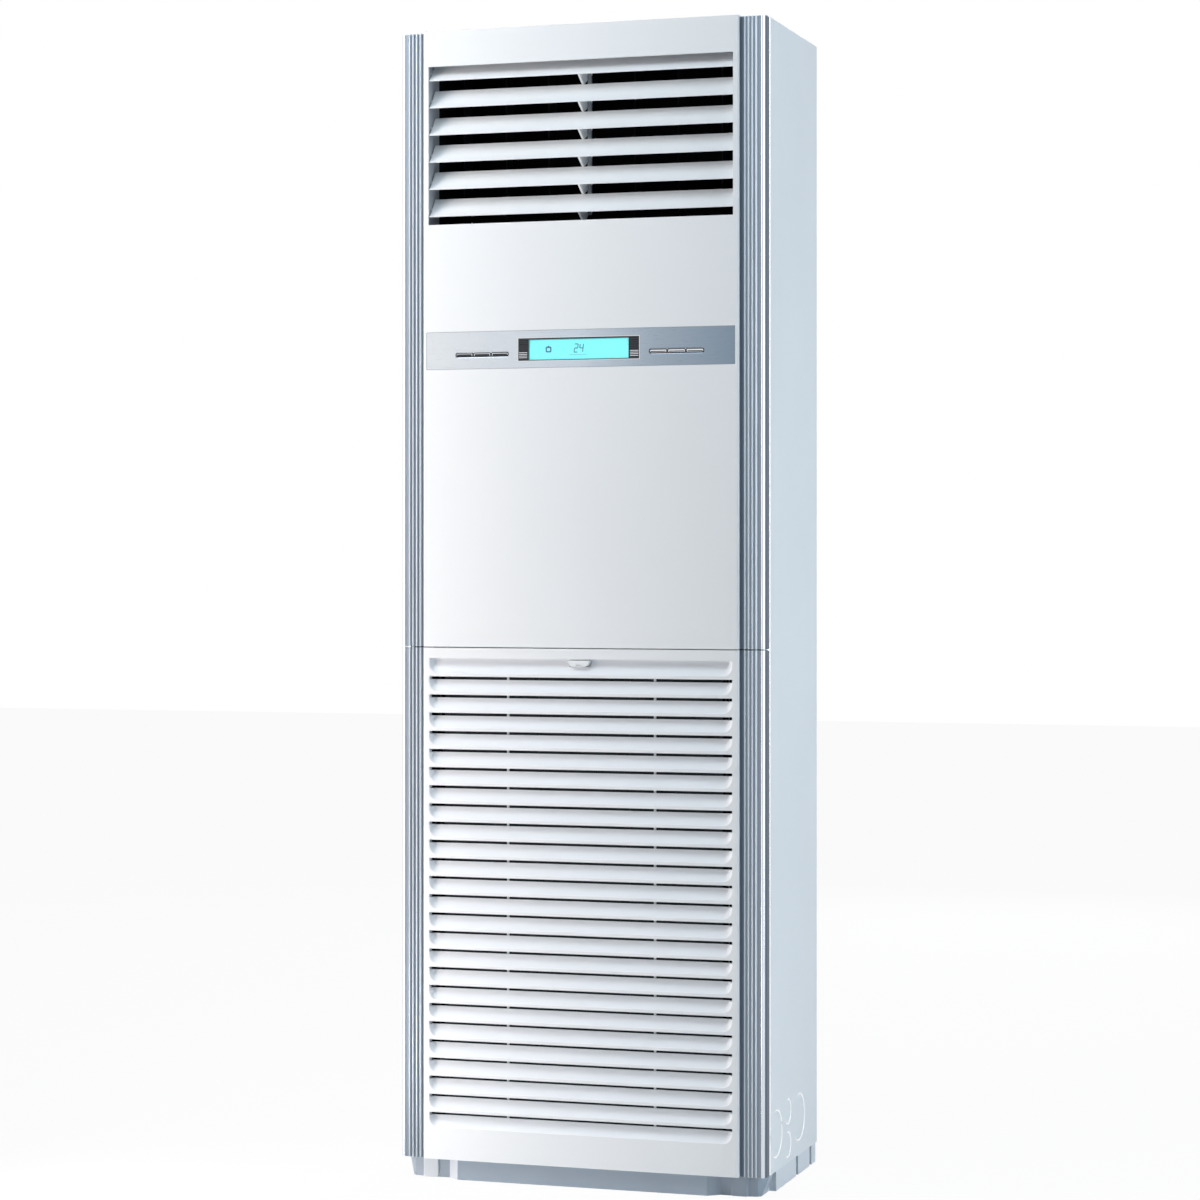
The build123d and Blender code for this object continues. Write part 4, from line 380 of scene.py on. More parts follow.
class Form:
    """A mesh in the making, from points given as X, depth and height in millimetres."""

    def __init__(self):
        self.mesh = bmesh.new()

    def points(self, places):
        return [self.mesh.verts.new(at(*place)) for place in places]

    def face(self, corners, finish=0):
        made = self.mesh.faces.new(corners)
        made.material_index = finish

    def patch(self, places, finish=0):
        self.face(self.points(places), finish)

    def grid(self, rows, open_cell=None):
        """Quads between rows of equally many places. It faces forward where X and height grow."""
        made = [self.points(row) for row in rows]
        for r, (low, high) in enumerate(zip(made, made[1:])):
            for c in range(len(low) - 1):
                if not (open_cell and open_cell(r, c)):
                    self.face([low[c], low[c + 1], high[c + 1], high[c]])

    def prism(self, near, far, finishes=None):
        """A closed solid between two outlines of equally many places."""
        a, b = self.points(near), self.points(far)
        count = len(a)
        for i in range(count):
            j = (i + 1) % count
            self.face([a[i], a[j], b[j], b[i]], finishes[i] if finishes else 0)
        self.face(a[::-1])
        self.face(b)

    def lathe(self, profile, place, sides=32):
        """Turns (radius, reach) pairs about an axis, by place(angle, radius, reach)."""
        rings = []
        for radius, reach in profile:
            if radius < TINY:
                rings.append(self.points([place(0.0, 0.0, reach)]) * sides)
            else:
                rings.append(self.points([place(turn, radius, reach) for turn in turns(sides)]))
        for low, high in zip(rings, rings[1:]):
            for i in range(sides):
                j = (i + 1) % sides
                corners = []
                for vert in (low[i], low[j], high[j], high[i]):
                    if vert not in corners:
                        corners.append(vert)
                self.face(corners)

    def cad(self, node, gone):
        """Adds the CAD node's own faces, except those for which gone(points) is true."""
        part = bmesh.new()
        part.from_mesh(NODES[node].data)
        bmesh.ops.remove_doubles(part, verts=part.verts, dist=TINY)
        drop = []
        for face in part.faces:
            places = [(v.co.x / MM, v.co.y / MM + DEPTH / 2, v.co.z / MM) for v in face.verts]
            if gone(places):
                drop.append(face)
        bmesh.ops.delete(part, geom=drop, context="FACES")
        spare = bpy.data.meshes.new("spare")
        part.to_mesh(spare)
        part.free()
        self.mesh.from_mesh(spare)
        bpy.data.meshes.remove(spare)

    def data(self, name, turn_out=True, smooth=32.0):
        bmesh.ops.remove_doubles(self.mesh, verts=self.mesh.verts, dist=WELD)
        if turn_out:
            bmesh.ops.recalc_face_normals(self.mesh, faces=self.mesh.faces)
        made = bpy.data.meshes.new(name)
        self.mesh.to_mesh(made)
        self.mesh.free()
        smoothed(made, smooth)
        return made


def smoothed(mesh, angle):
    if "custom_normal" in mesh.attributes:
        mesh.attributes.remove(mesh.attributes["custom_normal"])
    mesh.shade_smooth()
    mesh.set_sharp_from_angle(angle=math.radians(angle))


def piece(mesh, body, *looks, name=None, slot=None, replaces=()):
    """Puts a mesh into the scene as a piece that rides on a body."""
    made = linked(name or mesh.name, mesh)
    for look in looks:
        mesh.materials.append(LOOKS[look].material)
    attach(made, body)
    slot or looks[0]
    if replaces:
        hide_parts(*replaces)


def carved(mesh, cutter):
    """The first closed mesh without the second."""
    body, tool = linked("carved", mesh), linked("tool", cutter)
    cut = body.modifiers.new("cut", "BOOLEAN")
    cut.operation = "DIFFERENCE"
    cut.solver = "EXACT"
    cut.object = tool
    graph = bpy.context.evaluated_depsgraph_get()
    made = bpy.data.meshes.new_from_object(body.evaluated_get(graph))
    for obj in (body, tool):
        bpy.data.objects.remove(obj)
    return made


def soften(node, width):
    """Fine rounding on the sharp edges of a CAD node."""
    obj = NODES[node]
    weld = obj.modifiers.new("weld", "WELD")
    weld.merge_threshold = TINY
    bevel = obj.modifiers.new("edges", "BEVEL")
    bevel.width = width * MM
    bevel.segments = 2
    bevel.limit_method = "ANGLE"
    bevel.angle_limit = math.radians(35.0)
    bevel.harden_normals = True


# -------------------- corner trims

PANEL_HALF = 263.0
TRIM_FACE = 9.5
TRIM_GROOVE = 11.5
TRIM_BACK = 14.5
TRIM_GROOVE_END = 269.2
RIDGES = 4
RIDGE_PITCH = 6.25
RIDGE_WIDTH = 3.9
RIDGE_RISE = 2.7
RIDGE_STEPS = 14
BEAD_START = 297.4
BEAD_END = 303.0
BEAD_RISE = 2.2
BEAD_STEPS = 18
SHOULDER = 17.5
SHOULDER_BULGE = 0.5
SHOULDER_STEPS = 6
FLANK_END = 31.5
FLANK_WALL = 302.0
RIDGE, BEAD_HIGHLIGHT, VALLEY_SHADE, GROOVE_SHADE = range(4)
# painted highlight on the bead and painted shade in valleys, groove and flank; the left trims, lit
# by the lamps, get a lighter painted shade in the groove
RIGHT_TRIM_PAINTED_LIGHT = ("silver_trim", "trim_bead", "trim_valley", "trim_groove")
LEFT_TRIM_PAINTED_LIGHT = ("silver_trim", "trim_bead", "trim_valley", "trim_shade")
TRIM_SPANS = {"upper": (858.8, 1848.5), "lower": (33.6, 857.2)}  # lower and upper end


def trim_outline():
    """Plan of the right trim as (X, depth), with the finish of the face after each point; the
    finishes paint a highlight on the bead and shade in the valleys, groove and flank.
    """
    points = [(PANEL_HALF, TRIM_GROOVE, GROOVE_SHADE), (TRIM_GROOVE_END, TRIM_GROOVE, VALLEY_SHADE)]

    def crown(x0, x1, start, end, rise, steps, finish):
        for step in range(steps + 1):
            angle = math.pi * step / steps
            along = (1 - math.cos(angle)) / 2
            depth = start + (end - start) * along - rise * math.sin(angle)
            # the last steps of each crown, where it turns away, take painted shade
            points.append((x0 + (x1 - x0) * along, depth, finish if step < steps - 2 else VALLEY_SHADE))

    for ridge in range(RIDGES):
        x = TRIM_GROOVE_END + ridge * RIDGE_PITCH
        crown(x, x + RIDGE_WIDTH, TRIM_FACE, TRIM_FACE, RIDGE_RISE, RIDGE_STEPS, RIDGE)
    crown(BEAD_START, BEAD_END, TRIM_FACE, TRIM_GROOVE, BEAD_RISE, BEAD_STEPS, BEAD_HIGHLIGHT)
    for step in range(1, SHOULDER_STEPS):
        along = step / SHOULDER_STEPS
        bulge = SHOULDER_BULGE * math.sin(math.pi * along)
        x = BEAD_END + (HALF - BEAD_END) * along + bulge * 0.6
        depth = TRIM_GROOVE + (SHOULDER - TRIM_GROOVE) * along - bulge
        points.append((min(x, HALF), depth, GROOVE_SHADE))
    points += [(HALF, SHOULDER, GROOVE_SHADE), (HALF, FLANK_END, GROOVE_SHADE)]
    points += [(FLANK_WALL, FLANK_END, VALLEY_SHADE), (FLANK_WALL, SHOULDER, VALLEY_SHADE)]
    points += [(FLANK_WALL - 2, TRIM_BACK, VALLEY_SHADE), (PANEL_HALF, TRIM_BACK, VALLEY_SHADE)]
    return points


def trim(height, side):
    node = f"trim_{height}_{side}"
    sign, looks = (-1, LEFT_TRIM_PAINTED_LIGHT) if side == "left" else (1, RIGHT_TRIM_PAINTED_LIGHT)
    outline = trim_outline()
    low, high = ([(sign * x, depth, z) for x, depth, _ in outline] for z in TRIM_SPANS[height])
    form = Form()
    form.prism(low, high, [finish for _, _, finish in outline])
    piece(form.data(node + "_fluted"), BODIES[node], *looks, slot="silver_trim", replaces=[node])


for height in TRIM_SPANS:
    for side in ("left", "right"):
        trim(height, side)


# -------------------- intake grille

SLOT_TOP = 840.3
SLOT_PITCH = 29.25
SLOTS = 25
SLOT_HEIGHT = 5.0
POCKET = 24.0  # height of a pocket
POCKET_DEPTH = 9.5
POCKET_CORNER = 16.0
POCKET_HALF = 253.0
POCKET_BLEND = 6.0  # how far the end walls run softly into the floor
PLATE = 12.5
END_SLOPE = 1 / math.tan(math.radians(38.0))
SLOT_END = POCKET_HALF - POCKET_DEPTH / END_SLOPE
DARK = 12.3  # depth of the floor where a slot runs on over the solid end of the plate; that floor is painted black as shade
LIP = 0.8  # radius of a slot's upper lip
SOFT = 0.7  # how far to either side of an edge its rounding reaches
RAMP_RISE = (15.8, 3.2)  # the curved floor's height: factors of the way along it and of its square
RAMP_SINK = (15.9, -6.4)  # its depth, likewise
GRILLE_LOW, GRILLE_HIGH = TRIM_SPANS["lower"]
EDGE = 2.2
NEAR = 0.02
LATCH_WINDOW = (18.3, 828.5, 839.1)  # half its width, then its lower and upper edge
WINDOW_RISES = [LATCH_WINDOW[1] - SLOT_TOP + POCKET, 14.0, 16.0, 17.6]
WINDOW_RISES += [POCKET - SLOT_HEIGHT, 20.5, LATCH_WINDOW[2] - SLOT_TOP + POCKET]
# finishes besides the front: black as painted shade at the slots' ends, and a darker white as
# painted shade in the pockets
GRILLE_PAINTED_SHADE, GRILLE_POCKET_SHADE = 1, 2
RAILS = (200.0, 246.5)  # the filter rails behind the slots, painted black as shade
RAIL_FRONT = 11.3


def softened(reach):
    """A slope of 1 from an edge, with that edge rounded."""
    if reach <= -SOFT:
        return 0.0
    if reach >= SOFT:
        return reach
    return (reach + SOFT) ** 2 / (4 * SOFT)


def ramp_depth(rise):
    """Depth of the pocket's curved floor at a height above its lower edge."""
    if rise <= SOFT:
        return softened(rise)
    even, square = RAMP_RISE
    height = min(rise, POCKET - SLOT_HEIGHT)
    along = (math.sqrt(even**2 + 4 * square * height) - even) / (2 * square)
    return along * (RAMP_SINK[0] + RAMP_SINK[1] * along)


def pocket_depth(x, rise):
    """Depth of the grille's front at an X and a height above the pocket's lower edge."""
    side = POCKET_HALF - abs(x)
    reach = min(side, rise)
    if side < POCKET_CORNER and rise < POCKET_CORNER:
        reach = POCKET_CORNER - math.hypot(POCKET_CORNER - side, POCKET_CORNER - rise)
    wall = END_SLOPE * softened(reach)
    ramp = ramp_depth(rise)
    least = min(wall, ramp)
    ease = min(1.0, max(0.0, (POCKET - SLOT_HEIGHT - rise) / 4))
    blend = min(POCKET_BLEND, 0.95 * least) * ease
    if blend < TINY:
        return least
    near = max(blend - abs(wall - ramp), 0.0)
    return least - near * near / (4 * blend)


def columns():
    """X places across the grille, close together where the pockets end."""
    right = [0.0, LATCH_WINDOW[0], 60.0, 123.0, 180.0, 215.0, 228.0, 231.0, 233.5, 235.5]
    for x, end, pitch in (
        (237.0, SLOT_END - 0.5, 1.1),
        (SLOT_END, POCKET_HALF + SOFT, (POCKET_HALF - SLOT_END) / 12),
    ):
        while x < end:
            right.append(x)
            x += pitch
    right += [POCKET_HALF + SOFT + 0.4, PANEL_HALF - EDGE]
    return [-x for x in reversed(right[1:])] + right


def lip_depth(x, height):
    """Depth of the rounded edge above a slot."""
    if abs(x) >= POCKET_HALF - 0.5:
        return 0.0
    return LIP - math.sqrt(max(0.0, LIP**2 - (LIP - min(height, LIP)) ** 2))


def slot_walls(form, across, low, top, is_slot):
    """The wall above a slot, and below it the ledge at the slot's ends, with its end walls; behind
    those ends the floor and the inner end walls are painted black as shade.
    """
    sill = low + POCKET - SLOT_HEIGHT
    for x0, x1 in zip(across, across[1:]):
        middle = abs(x0 + x1) / 2
        if middle >= POCKET_HALF:
            continue
        backs = [PLATE if is_slot else pocket_depth(x, POCKET) for x in (x0, x1)]
        fronts = [lip_depth(x, 0.0) for x in (x0, x1)]
        if backs[0] <= fronts[0] or backs[1] <= fronts[1]:
            continue
        edge = [(x0, fronts[0], top), (x0, backs[0], top)]
        form.patch(edge + [(x1, backs[1], top), (x1, fronts[1], top)])
        if is_slot and middle > SLOT_END:
            d0, d1 = (pocket_depth(x, POCKET - SLOT_HEIGHT) for x in (x0, x1))
            form.patch([(x0, d0, sill), (x1, d1, sill), (x1, DARK, sill), (x0, DARK, sill)])
            wall = [(x0, DARK, sill), (x1, DARK, sill), (x1, DARK, top), (x0, DARK, top)]
            form.patch(wall, GRILLE_PAINTED_SHADE)
    if is_slot:
        for side in (-1, 1):
            for x, front, rear, finish in (
                (side * POCKET_HALF, 0.0, DARK, 0),
                (side * SLOT_END, DARK, PLATE, GRILLE_PAINTED_SHADE),
            ):
                wall = [(x, front, sill), (x, rear, sill), (x, rear, top), (x, front, top)]
                form.patch(wall if side < 0 else wall[::-1], finish)


def grille_front(form):
    """The pockets and slots from the top down; the first has no slot but the latch's window."""
    across = columns()
    rises = [-SOFT, -0.35, 0.0, 0.35, SOFT, 1.2, 2.0, 3.0, 4.2, 5.5, 7.0, 8.6, 10.4]
    rises += WINDOW_RISES + [POCKET]
    for slot in range(SLOTS + 1):
        top = SLOT_TOP - slot * SLOT_PITCH
        low = top - POCKET

        def open_cell(r, c):
            middle = abs(across[c] + across[c + 1]) / 2
            if slot:
                return rises[r] >= POCKET - SLOT_HEIGHT - TINY and middle < POCKET_HALF
            height = low + (rises[r] + rises[r + 1]) / 2
            return middle < LATCH_WINDOW[0] and LATCH_WINDOW[1] < height < LATCH_WINDOW[2]

        rows = [[(x, pocket_depth(x, rise), low + rise) for x in across] for rise in rises]
        form.grid(rows, open_cell)
        high = top + SLOT_PITCH - POCKET - SOFT if slot else GRILLE_HIGH
        heights = [top + step for step in (0.0, 0.12, 0.3, 0.5, LIP, 1.4)] + [high]
        form.grid([[(x, lip_depth(x, z - top), z) for x in across] for z in heights])
        slot_walls(form, across, low, top, slot > 0)
    foot = SLOT_TOP - SLOTS * SLOT_PITCH - POCKET - SOFT
    form.grid([[(x, 0.0, z) for x in across] for z in (GRILLE_LOW, foot)])
    for side in (-1, 1):
        arc = []
        for angle in QUARTER:
            x = PANEL_HALF - EDGE + EDGE * math.sin(angle)
            arc.append((side * x, EDGE - EDGE * math.cos(angle)))
        arc.sort()
        form.grid([[(x, depth, z) for x, depth in arc] for z in (GRILLE_LOW, GRILLE_HIGH)])


def window_walls(form):
    """Walls of the opening round the latch, from the pocket's floor to the back of the plate."""
    half, low, high = LATCH_WINDOW
    base = SLOT_TOP - POCKET
    for side in (-1, 1):
        rows = []
        for rise in WINDOW_RISES:
            front = (side * half, pocket_depth(half, rise), base + rise)
            rear = (side * half, PLATE, base + rise)
            rows.append([front, rear] if side < 0 else [rear, front])
        form.grid(rows)
    for z, flip in ((low, False), (high, True)):
        depth = pocket_depth(0.0, z - base)
        row = [(-half, depth, z), (half, depth, z), (half, PLATE, z), (-half, PLATE, z)]
        form.patch(row[::-1] if flip else row)


def remade(places):
    """True for those faces of the CAD's grille that the finer front takes the place of."""
    half, window_low, window_high = LATCH_WINDOW
    lowest = SLOT_TOP - SLOTS * SLOT_PITCH - POCKET
    xs, depths, heights = zip(*places)
    wide, narrow = max(abs(x) for x in xs), min(abs(x) for x in xs)
    shallow, deep = min(depths), max(depths)
    under, over = min(heights), max(heights)
    if narrow > SLOT_END - NEAR and wide < SLOT_END + NEAR and deep < PLATE + NEAR:
        return True
    if deep < NEAR or narrow > PANEL_HALF - EDGE - 0.05 and deep < EDGE + NEAR:
        return True
    if wide > POCKET_HALF + 0.05 or under < lowest - 0.05 or over > SLOT_TOP + 0.05:
        return False
    if deep < POCKET_DEPTH + NEAR:
        return True
    if wide < half + NEAR and under > window_low - NEAR and over < window_high + NEAR:
        return deep < PLATE + NEAR
    return over - under < NEAR and shallow < NEAR


def grille():
    form = Form()
    form.cad("intake_grille", remade)
    grille_front(form)
    window_walls(form)
    for face in form.mesh.faces:
        centre = face.calc_center_median() / MM
        x, depth = abs(centre.x), centre.y + DEPTH / 2
        in_pocket = LIP < depth < POCKET_DEPTH + 0.1 and x < POCKET_HALF + 0.1
        # painted shade: the rails go black, the pocket faces a little darker than the front
        if depth > RAIL_FRONT and RAILS[0] < x < RAILS[1]:
            face.material_index = GRILLE_PAINTED_SHADE
        elif face.material_index == 0 and in_pocket:
            face.material_index = GRILLE_POCKET_SHADE
    mesh = form.data("intake_grille_moulding", turn_out=False, smooth=40.0)
    looks = ("front_white", "vane_black", "pocket_white")
    piece(mesh, "grille", *looks, replaces=["intake_grille"])


grille()


# -------------------- outlet louvres

LOUVRE_TOP = 1783.6
LOUVRE_PITCH = 43.8
LOUVRES = 6
PIVOT = 17.0  # depth of the pivot
BLADE_HALF = 253.5
CHORD = 40.0
CAMBER = 3.0
SKIN = 1.5  # half the thickness
LIP_SHARE = 0.45  # of that thickness, at the lips
NOSE = 0.55  # how far a lip's rounding stands out, as a share of its half thickness
BLADE_STEPS = 20
TILT = math.radians(49.0)
PIN_RADIUS = 2.0
PIN_SIDES = 20
PIN_REACH = 259.0
LINK_PIN = (49.0, -8.0)  # depth, and height from the pivot
LINK_PIN_ENDS = (-0.5, 6.9)
EAR = 3.0
EAR_CORNERS = ((55.5, -7.5), (53.0, -12.5), (42.0, -20.5), (28.0, -26.5))


def tilted(along, across, z):
    depth = PIVOT + along * math.cos(TILT) - across * math.sin(TILT)
    return depth, z + along * math.sin(TILT) + across * math.cos(TILT)


def blade_outline(z):
    """Scooped blade: thick in the middle, with thin rounded lips."""
    end = CHORD / 2
    upper, under = [], []
    for step in range(BLADE_STEPS + 1):
        along = -end + CHORD * step / BLADE_STEPS
        sag = CAMBER * (along / end) ** 2
        thick = SKIN * (1 - (1 - LIP_SHARE) * (along / end) ** 2)
        upper.append(tilted(along, sag + thick, z))
        under.append(tilted(along, sag - thick, z))
    lip = SKIN * LIP_SHARE
    rear, front = [], []
    for angle in (0.8, 0.0, -0.8):
        out, up = end + NOSE * lip * math.cos(angle), lip * math.sin(angle)
        rear.append(tilted(out, CAMBER + up, z))
        front.append(tilted(-out, CAMBER - up, z))
    return upper + rear + under[::-1] + front


def bar(form, outline, x0, x1):
    """A bar along X with the same (depth, height) outline at both ends."""
    form.prism([(x0, *place) for place in outline], [(x1, *place) for place in outline])


def louvre(number):
    node = f"louvre_{number}"
    z = LOUVRE_TOP - (number - 1) * LOUVRE_PITCH
    form = Form()
    bar(form, blade_outline(z), -BLADE_HALF, BLADE_HALF)
    ring = [(PIN_RADIUS * math.cos(a), PIN_RADIUS * math.sin(a)) for a in turns(PIN_SIDES)]
    for x0, x1, depth, height in (
        (-PIN_REACH, -BLADE_HALF + 1, PIVOT, z),
        (BLADE_HALF - 1, PIN_REACH, PIVOT, z),
        (*LINK_PIN_ENDS, LINK_PIN[0], z + LINK_PIN[1]),
    ):
        bar(form, [(depth + back, height + up) for back, up in ring], x0, x1)
    end = CHORD / 2
    ear = [tilted(along, CAMBER * (along / end) ** 2 - 0.4, z) for along in range(-18, 19, 6)]
    ear += [(depth, z + height) for depth, height in EAR_CORNERS]
    bar(form, ear, -EAR, 0.0)
    piece(form.data(f"louvre_blade_{number}"), node, "louvre_white", replaces=[node])


for number in range(1, LOUVRES + 1):
    louvre(number)


# -------------------- side and rear sheets

SIDE_KNOCKOUTS = ((220.0, 94.5, 38.6), (75.0, 92.0, 38.0))  # depth, height and radius
SIDE_KNOCKOUTS += ((148.0, 115.0, 21.0), (148.0, 62.0, 21.0))
REAR_KNOCKOUTS = ((178.0, 118.0, 38.0), (92.0, 118.0, 21.0))  # X, height and radius
REAR_FACE = 338.4
BASE_HEIGHT = 33.0
COVER_UNDERSIDE = 1848.8
SHEET = 1.2
PANEL_START = 32.6
PANEL_REAR = 337.2
FOLD_RADIUS = 8.0
FOLD_END = 291.0
SUNK = 0.85  # depth of the knock-outs
CUT_WIDTH = 2.2  # of the bare metal ring in them
SHEET_LOOKS = ("side_sheet", "foam_black", "cut_edge")
LINING, BARE_EDGE_AND_HIGHLIGHT = 1, 2
SWAGE_HEIGHTS = (420.0, 780.0, 1140.0, 1500.0)
SWAGE_END = 235.0
SWAGE_HALF = 9.0
SWAGE_RISE = 1.1
SCREW_ROWS = 4
SCREW_END = 40.0  # from the ends of the rear sheet
SCREW_EDGE = 8.0
SCREW_HEAD = [(0.0, -0.2), (4.5, -0.2), (4.6, 0.35), (4.35, 0.85)]  # radius and reach
SCREW_HEAD += [(3.7, 1.25), (2.5, 1.5), (1.2, 1.58), (0.0, 1.6)]
RECESS = (2.4, 0.4)  # half its length and half its width
RECESS_REACH = (0.6, 2.0)  # from and to, above the sheet


def disc_cutter(form, place, radius):
    """A flat disc that sinks a knock-out: place(angle, radius, height above the sheet)."""
    above, inner = 0.4, radius - CUT_WIDTH
    profile = [(0.0, above), (radius, above), (radius, -SUNK), (inner, -SUNK), (0.0, -SUNK)]
    form.lathe(profile, place, sides=72)


def sheet_finish(mesh, axis, inside, knockouts):
    """Lining on the faces inside (axis and place tell which), bright metal round the knock-outs."""
    for face in mesh.polygons:
        x, y, height = face.center / MM
        if abs(face.normal[axis]) > 0.9 and inside((x, y)[axis]):
            face.material_index = LINING
            continue
        along = x if axis else y + DEPTH / 2
        for place, level, radius in knockouts:
            out = math.hypot(along - place, height - level)
            if radius - CUT_WIDTH < out < radius + 0.1 and len(face.vertices) <= 4:
                face.material_index = BARE_EDGE_AND_HIGHLIGHT


def panel_outline():
    """Plan of the right side panel as (X, depth): a fold at the front, then the flat sheet."""
    outer, inner = [], []
    for angle in QUARTER:
        for points, radius in ((outer, FOLD_RADIUS), (inner, FOLD_RADIUS - SHEET)):
            x = HALF - FOLD_RADIUS + radius * math.sin(angle)
            points.append((x, PANEL_START + FOLD_RADIUS - radius * math.cos(angle)))
    outer = [(FOLD_END, PANEL_START)] + outer + [(HALF, PANEL_REAR)]
    inner = [(FOLD_END, PANEL_START + SHEET)] + inner + [(HALF - SHEET, PANEL_REAR)]
    return outer + inner[::-1]


def on_side(side, depth, z):
    """Gives a lathe its places about an axis that stands on a side panel."""

    def place(angle, radius, reach):
        back, up = radius * math.cos(angle), radius * math.sin(angle)
        return (side * (HALF + reach), depth + back, z + up)

    return place


def side_panel(node):
    side = -1 if node.endswith("left") else 1
    discs = Form()
    for depth, height, radius in SIDE_KNOCKOUTS:
        disc_cutter(discs, on_side(side, depth, height), radius)
    outline = [(side * x, depth) for x, depth in panel_outline()]
    sheet = Form()
    sheet.prism(*([(*place, z) for place in outline] for z in (BASE_HEIGHT, COVER_UNDERSIDE)))
    mesh = carved(sheet.data("sheet"), discs.data("discs"))
    smoothed(mesh, 32.0)
    sheet_finish(mesh, 0, lambda x: side * x < HALF - SHEET + 0.05, SIDE_KNOCKOUTS)
    # painted highlight: the fold's forward-facing faces take the bright bare metal look
    for face in mesh.polygons:
        x, depth = side * face.center.x / MM, face.center.y / MM + DEPTH / 2
        on_fold = x > HALF - FOLD_RADIUS and depth < PANEL_START + FOLD_RADIUS
        if on_fold and -face.normal.y > 0.12:
            face.material_index = BARE_EDGE_AND_HIGHLIGHT
    piece(mesh, "cabinet", *SHEET_LOOKS, name=node + "_sheet", replaces=[node])


def swage(form, z):
    """A shallow rounded bead pressed out of the rear sheet."""
    rows = []
    for i in range(17):
        angle = math.pi * i / 16
        row = []
        for j in range(41):
            x = SWAGE_END * (j / 20 - 1)
            end = min(1.0, (SWAGE_END - abs(x)) / SWAGE_HALF)
            share = math.sqrt(max(0.0, 1 - (1 - end) ** 2))
            up = SWAGE_RISE * math.sin(angle) ** 1.5 * share
            row.append((x, REAR_FACE + up, z - SWAGE_HALF * share * math.cos(angle)))
        rows.append(row)
    form.grid(rows)


def on_rear(x, z):
    """Gives a lathe its places about an axis that stands on the rear sheet."""

    def place(angle, radius, reach):
        return (x + radius * math.cos(angle), REAR_FACE + reach, z + radius * math.sin(angle))

    return place


def rear_panel():
    discs = Form()
    for x, height, radius in REAR_KNOCKOUTS:
        disc_cutter(discs, on_rear(x, height), radius)
    sheet = Form()
    sheet.cad("rear_panel", lambda places: False)
    mesh = carved(sheet.data("sheet"), discs.data("discs"))
    smoothed(mesh, 32.0)
    sheet_finish(mesh, 1, lambda y: y + DEPTH / 2 < REAR_FACE - SHEET + 0.05, REAR_KNOCKOUTS)
    piece(mesh, "cabinet", *SHEET_LOOKS, name="rear_panel_sheet", replaces=["rear_panel"])
    beads = Form()
    for z in SWAGE_HEIGHTS:
        swage(beads, z)
    mesh = beads.data("rear_panel_beads", turn_out=False)
    mesh.flip_normals()
    piece(mesh, "cabinet", "side_sheet")


def cross(turn):
    """Outline of a screw's cross recess about its middle, turned by an angle."""
    long, half = RECESS
    outline = []
    for quarter in range(4):
        angle = turn + quarter * math.pi / 2
        along = Vector((math.cos(angle), math.sin(angle)))
        across = Vector((-along.y, along.x))
        tip, edge = along * long, across * half
        outline += [tip - edge, tip + edge, (along + across) * half]
    return outline


def rear_screws():
    """Pan heads with a cross recess, where the screws of the rear sheet are."""
    heads, tools = Form(), Form()
    rise = (COVER_UNDERSIDE - BASE_HEIGHT - 2 * SCREW_END) / (SCREW_ROWS - 1)
    for side in (-1, 1):
        for row in range(SCREW_ROWS):
            x, z = side * (HALF - SCREW_EDGE), BASE_HEIGHT + SCREW_END + row * rise
            heads.lathe(SCREW_HEAD, on_rear(x, z))
            outline = cross(0.4 + 0.7 * row + 0.3 * side)
            ends = ([(x + p.x, REAR_FACE + up, z + p.y) for p in outline] for up in RECESS_REACH)
            tools.prism(*ends)
    mesh = carved(heads.data("heads"), tools.data("recess"))
    smoothed(mesh, 35.0)
    piece(mesh, "cabinet", "screw", name="cabinet_screw_heads", replaces=["cabinet_screws"])


side_panel("side_panel_left")
side_panel("side_panel_right")
rear_panel()
rear_screws()


# -------------------- display and keys

STRIP_FACE = 0.2
STRIP = (-258.0, 258.0, 1304.5, 1365.0)
STRIP_GAP = 0.7
WINDOW = (-83.35, 83.35, 1317.65, 1349.65)
BEZEL = (-101.0, 101.0, 1316.3, 1352.2)
BEZEL_LINE = 0.75
RIB_STARTS = (-99.8, 85.95)
RIB_HEIGHTS = (4.4, 7.1, 9.8, 12.5)
RIB_LENGTH = 13.8
RIB_WIDTH = 0.9
RECEIVER = (-98.0, -85.2, 1330.2, 1341.2, 1.2)  # the last is the radius, as in the icon
GLASS_FACE = 2.8  # front of the display's glass
INK = (GLASS_FACE - 0.08, GLASS_FACE + 0.1)
DIGIT_FOOT = 1328.6
DIGIT_SIZE = (5.4, 13.0)
DIGIT_STROKE = 1.5
DIGIT_GAP = 0.08  # left free at both ends of a segment, as a share of it
DIGIT_SLANT = 0.12
TICKS = 18
TICK_START = -15.5
TICK_PITCH = 1.6
TICK_WIDTH = 1.0
TICK_HEIGHTS = (1324.4, 1325.2)
ICON_OUTER = (-55.6, -45.8, 1328.9, 1338.4, 2.2)
ICON_INNER = (-53.3, -48.1, 1331.2, 1336.1, 0.9)
ICON_STEM = (-51.9, -49.5, 1336.0, 1339.6, 0.5)
KEYS = 6
KEY_HEIGHT = 1327.5
KEY_PITCH = 30.3
KEY_INNER = 117.0
KEY_WIDE = 14.85  # half of a key's face, and below half its height
KEY_TALL = 3.9
KEY_BEND = 3.2  # radius of the corners at the ends of a group of keys
KEY_CORNER = 0.9  # and of the others
# width of the dark ring of painted shade round each key
KEY_RING = 2.0
RING_SIDE = 0.7  # the ring's width at a key's ends, and its inner radius, as a share
KEY_FRONT = 0.1
KEY_CROWN = 8.44  # radius of the crowned face
CORE_WIDE = 12.6  # half the length of the inlay
CORE_TALL = (3.6, 1.5)  # its height on the keys to the left and to the right
CORE_DROP = 0.6
CORNER_STEPS = 5
EDGE_PARTS = 6


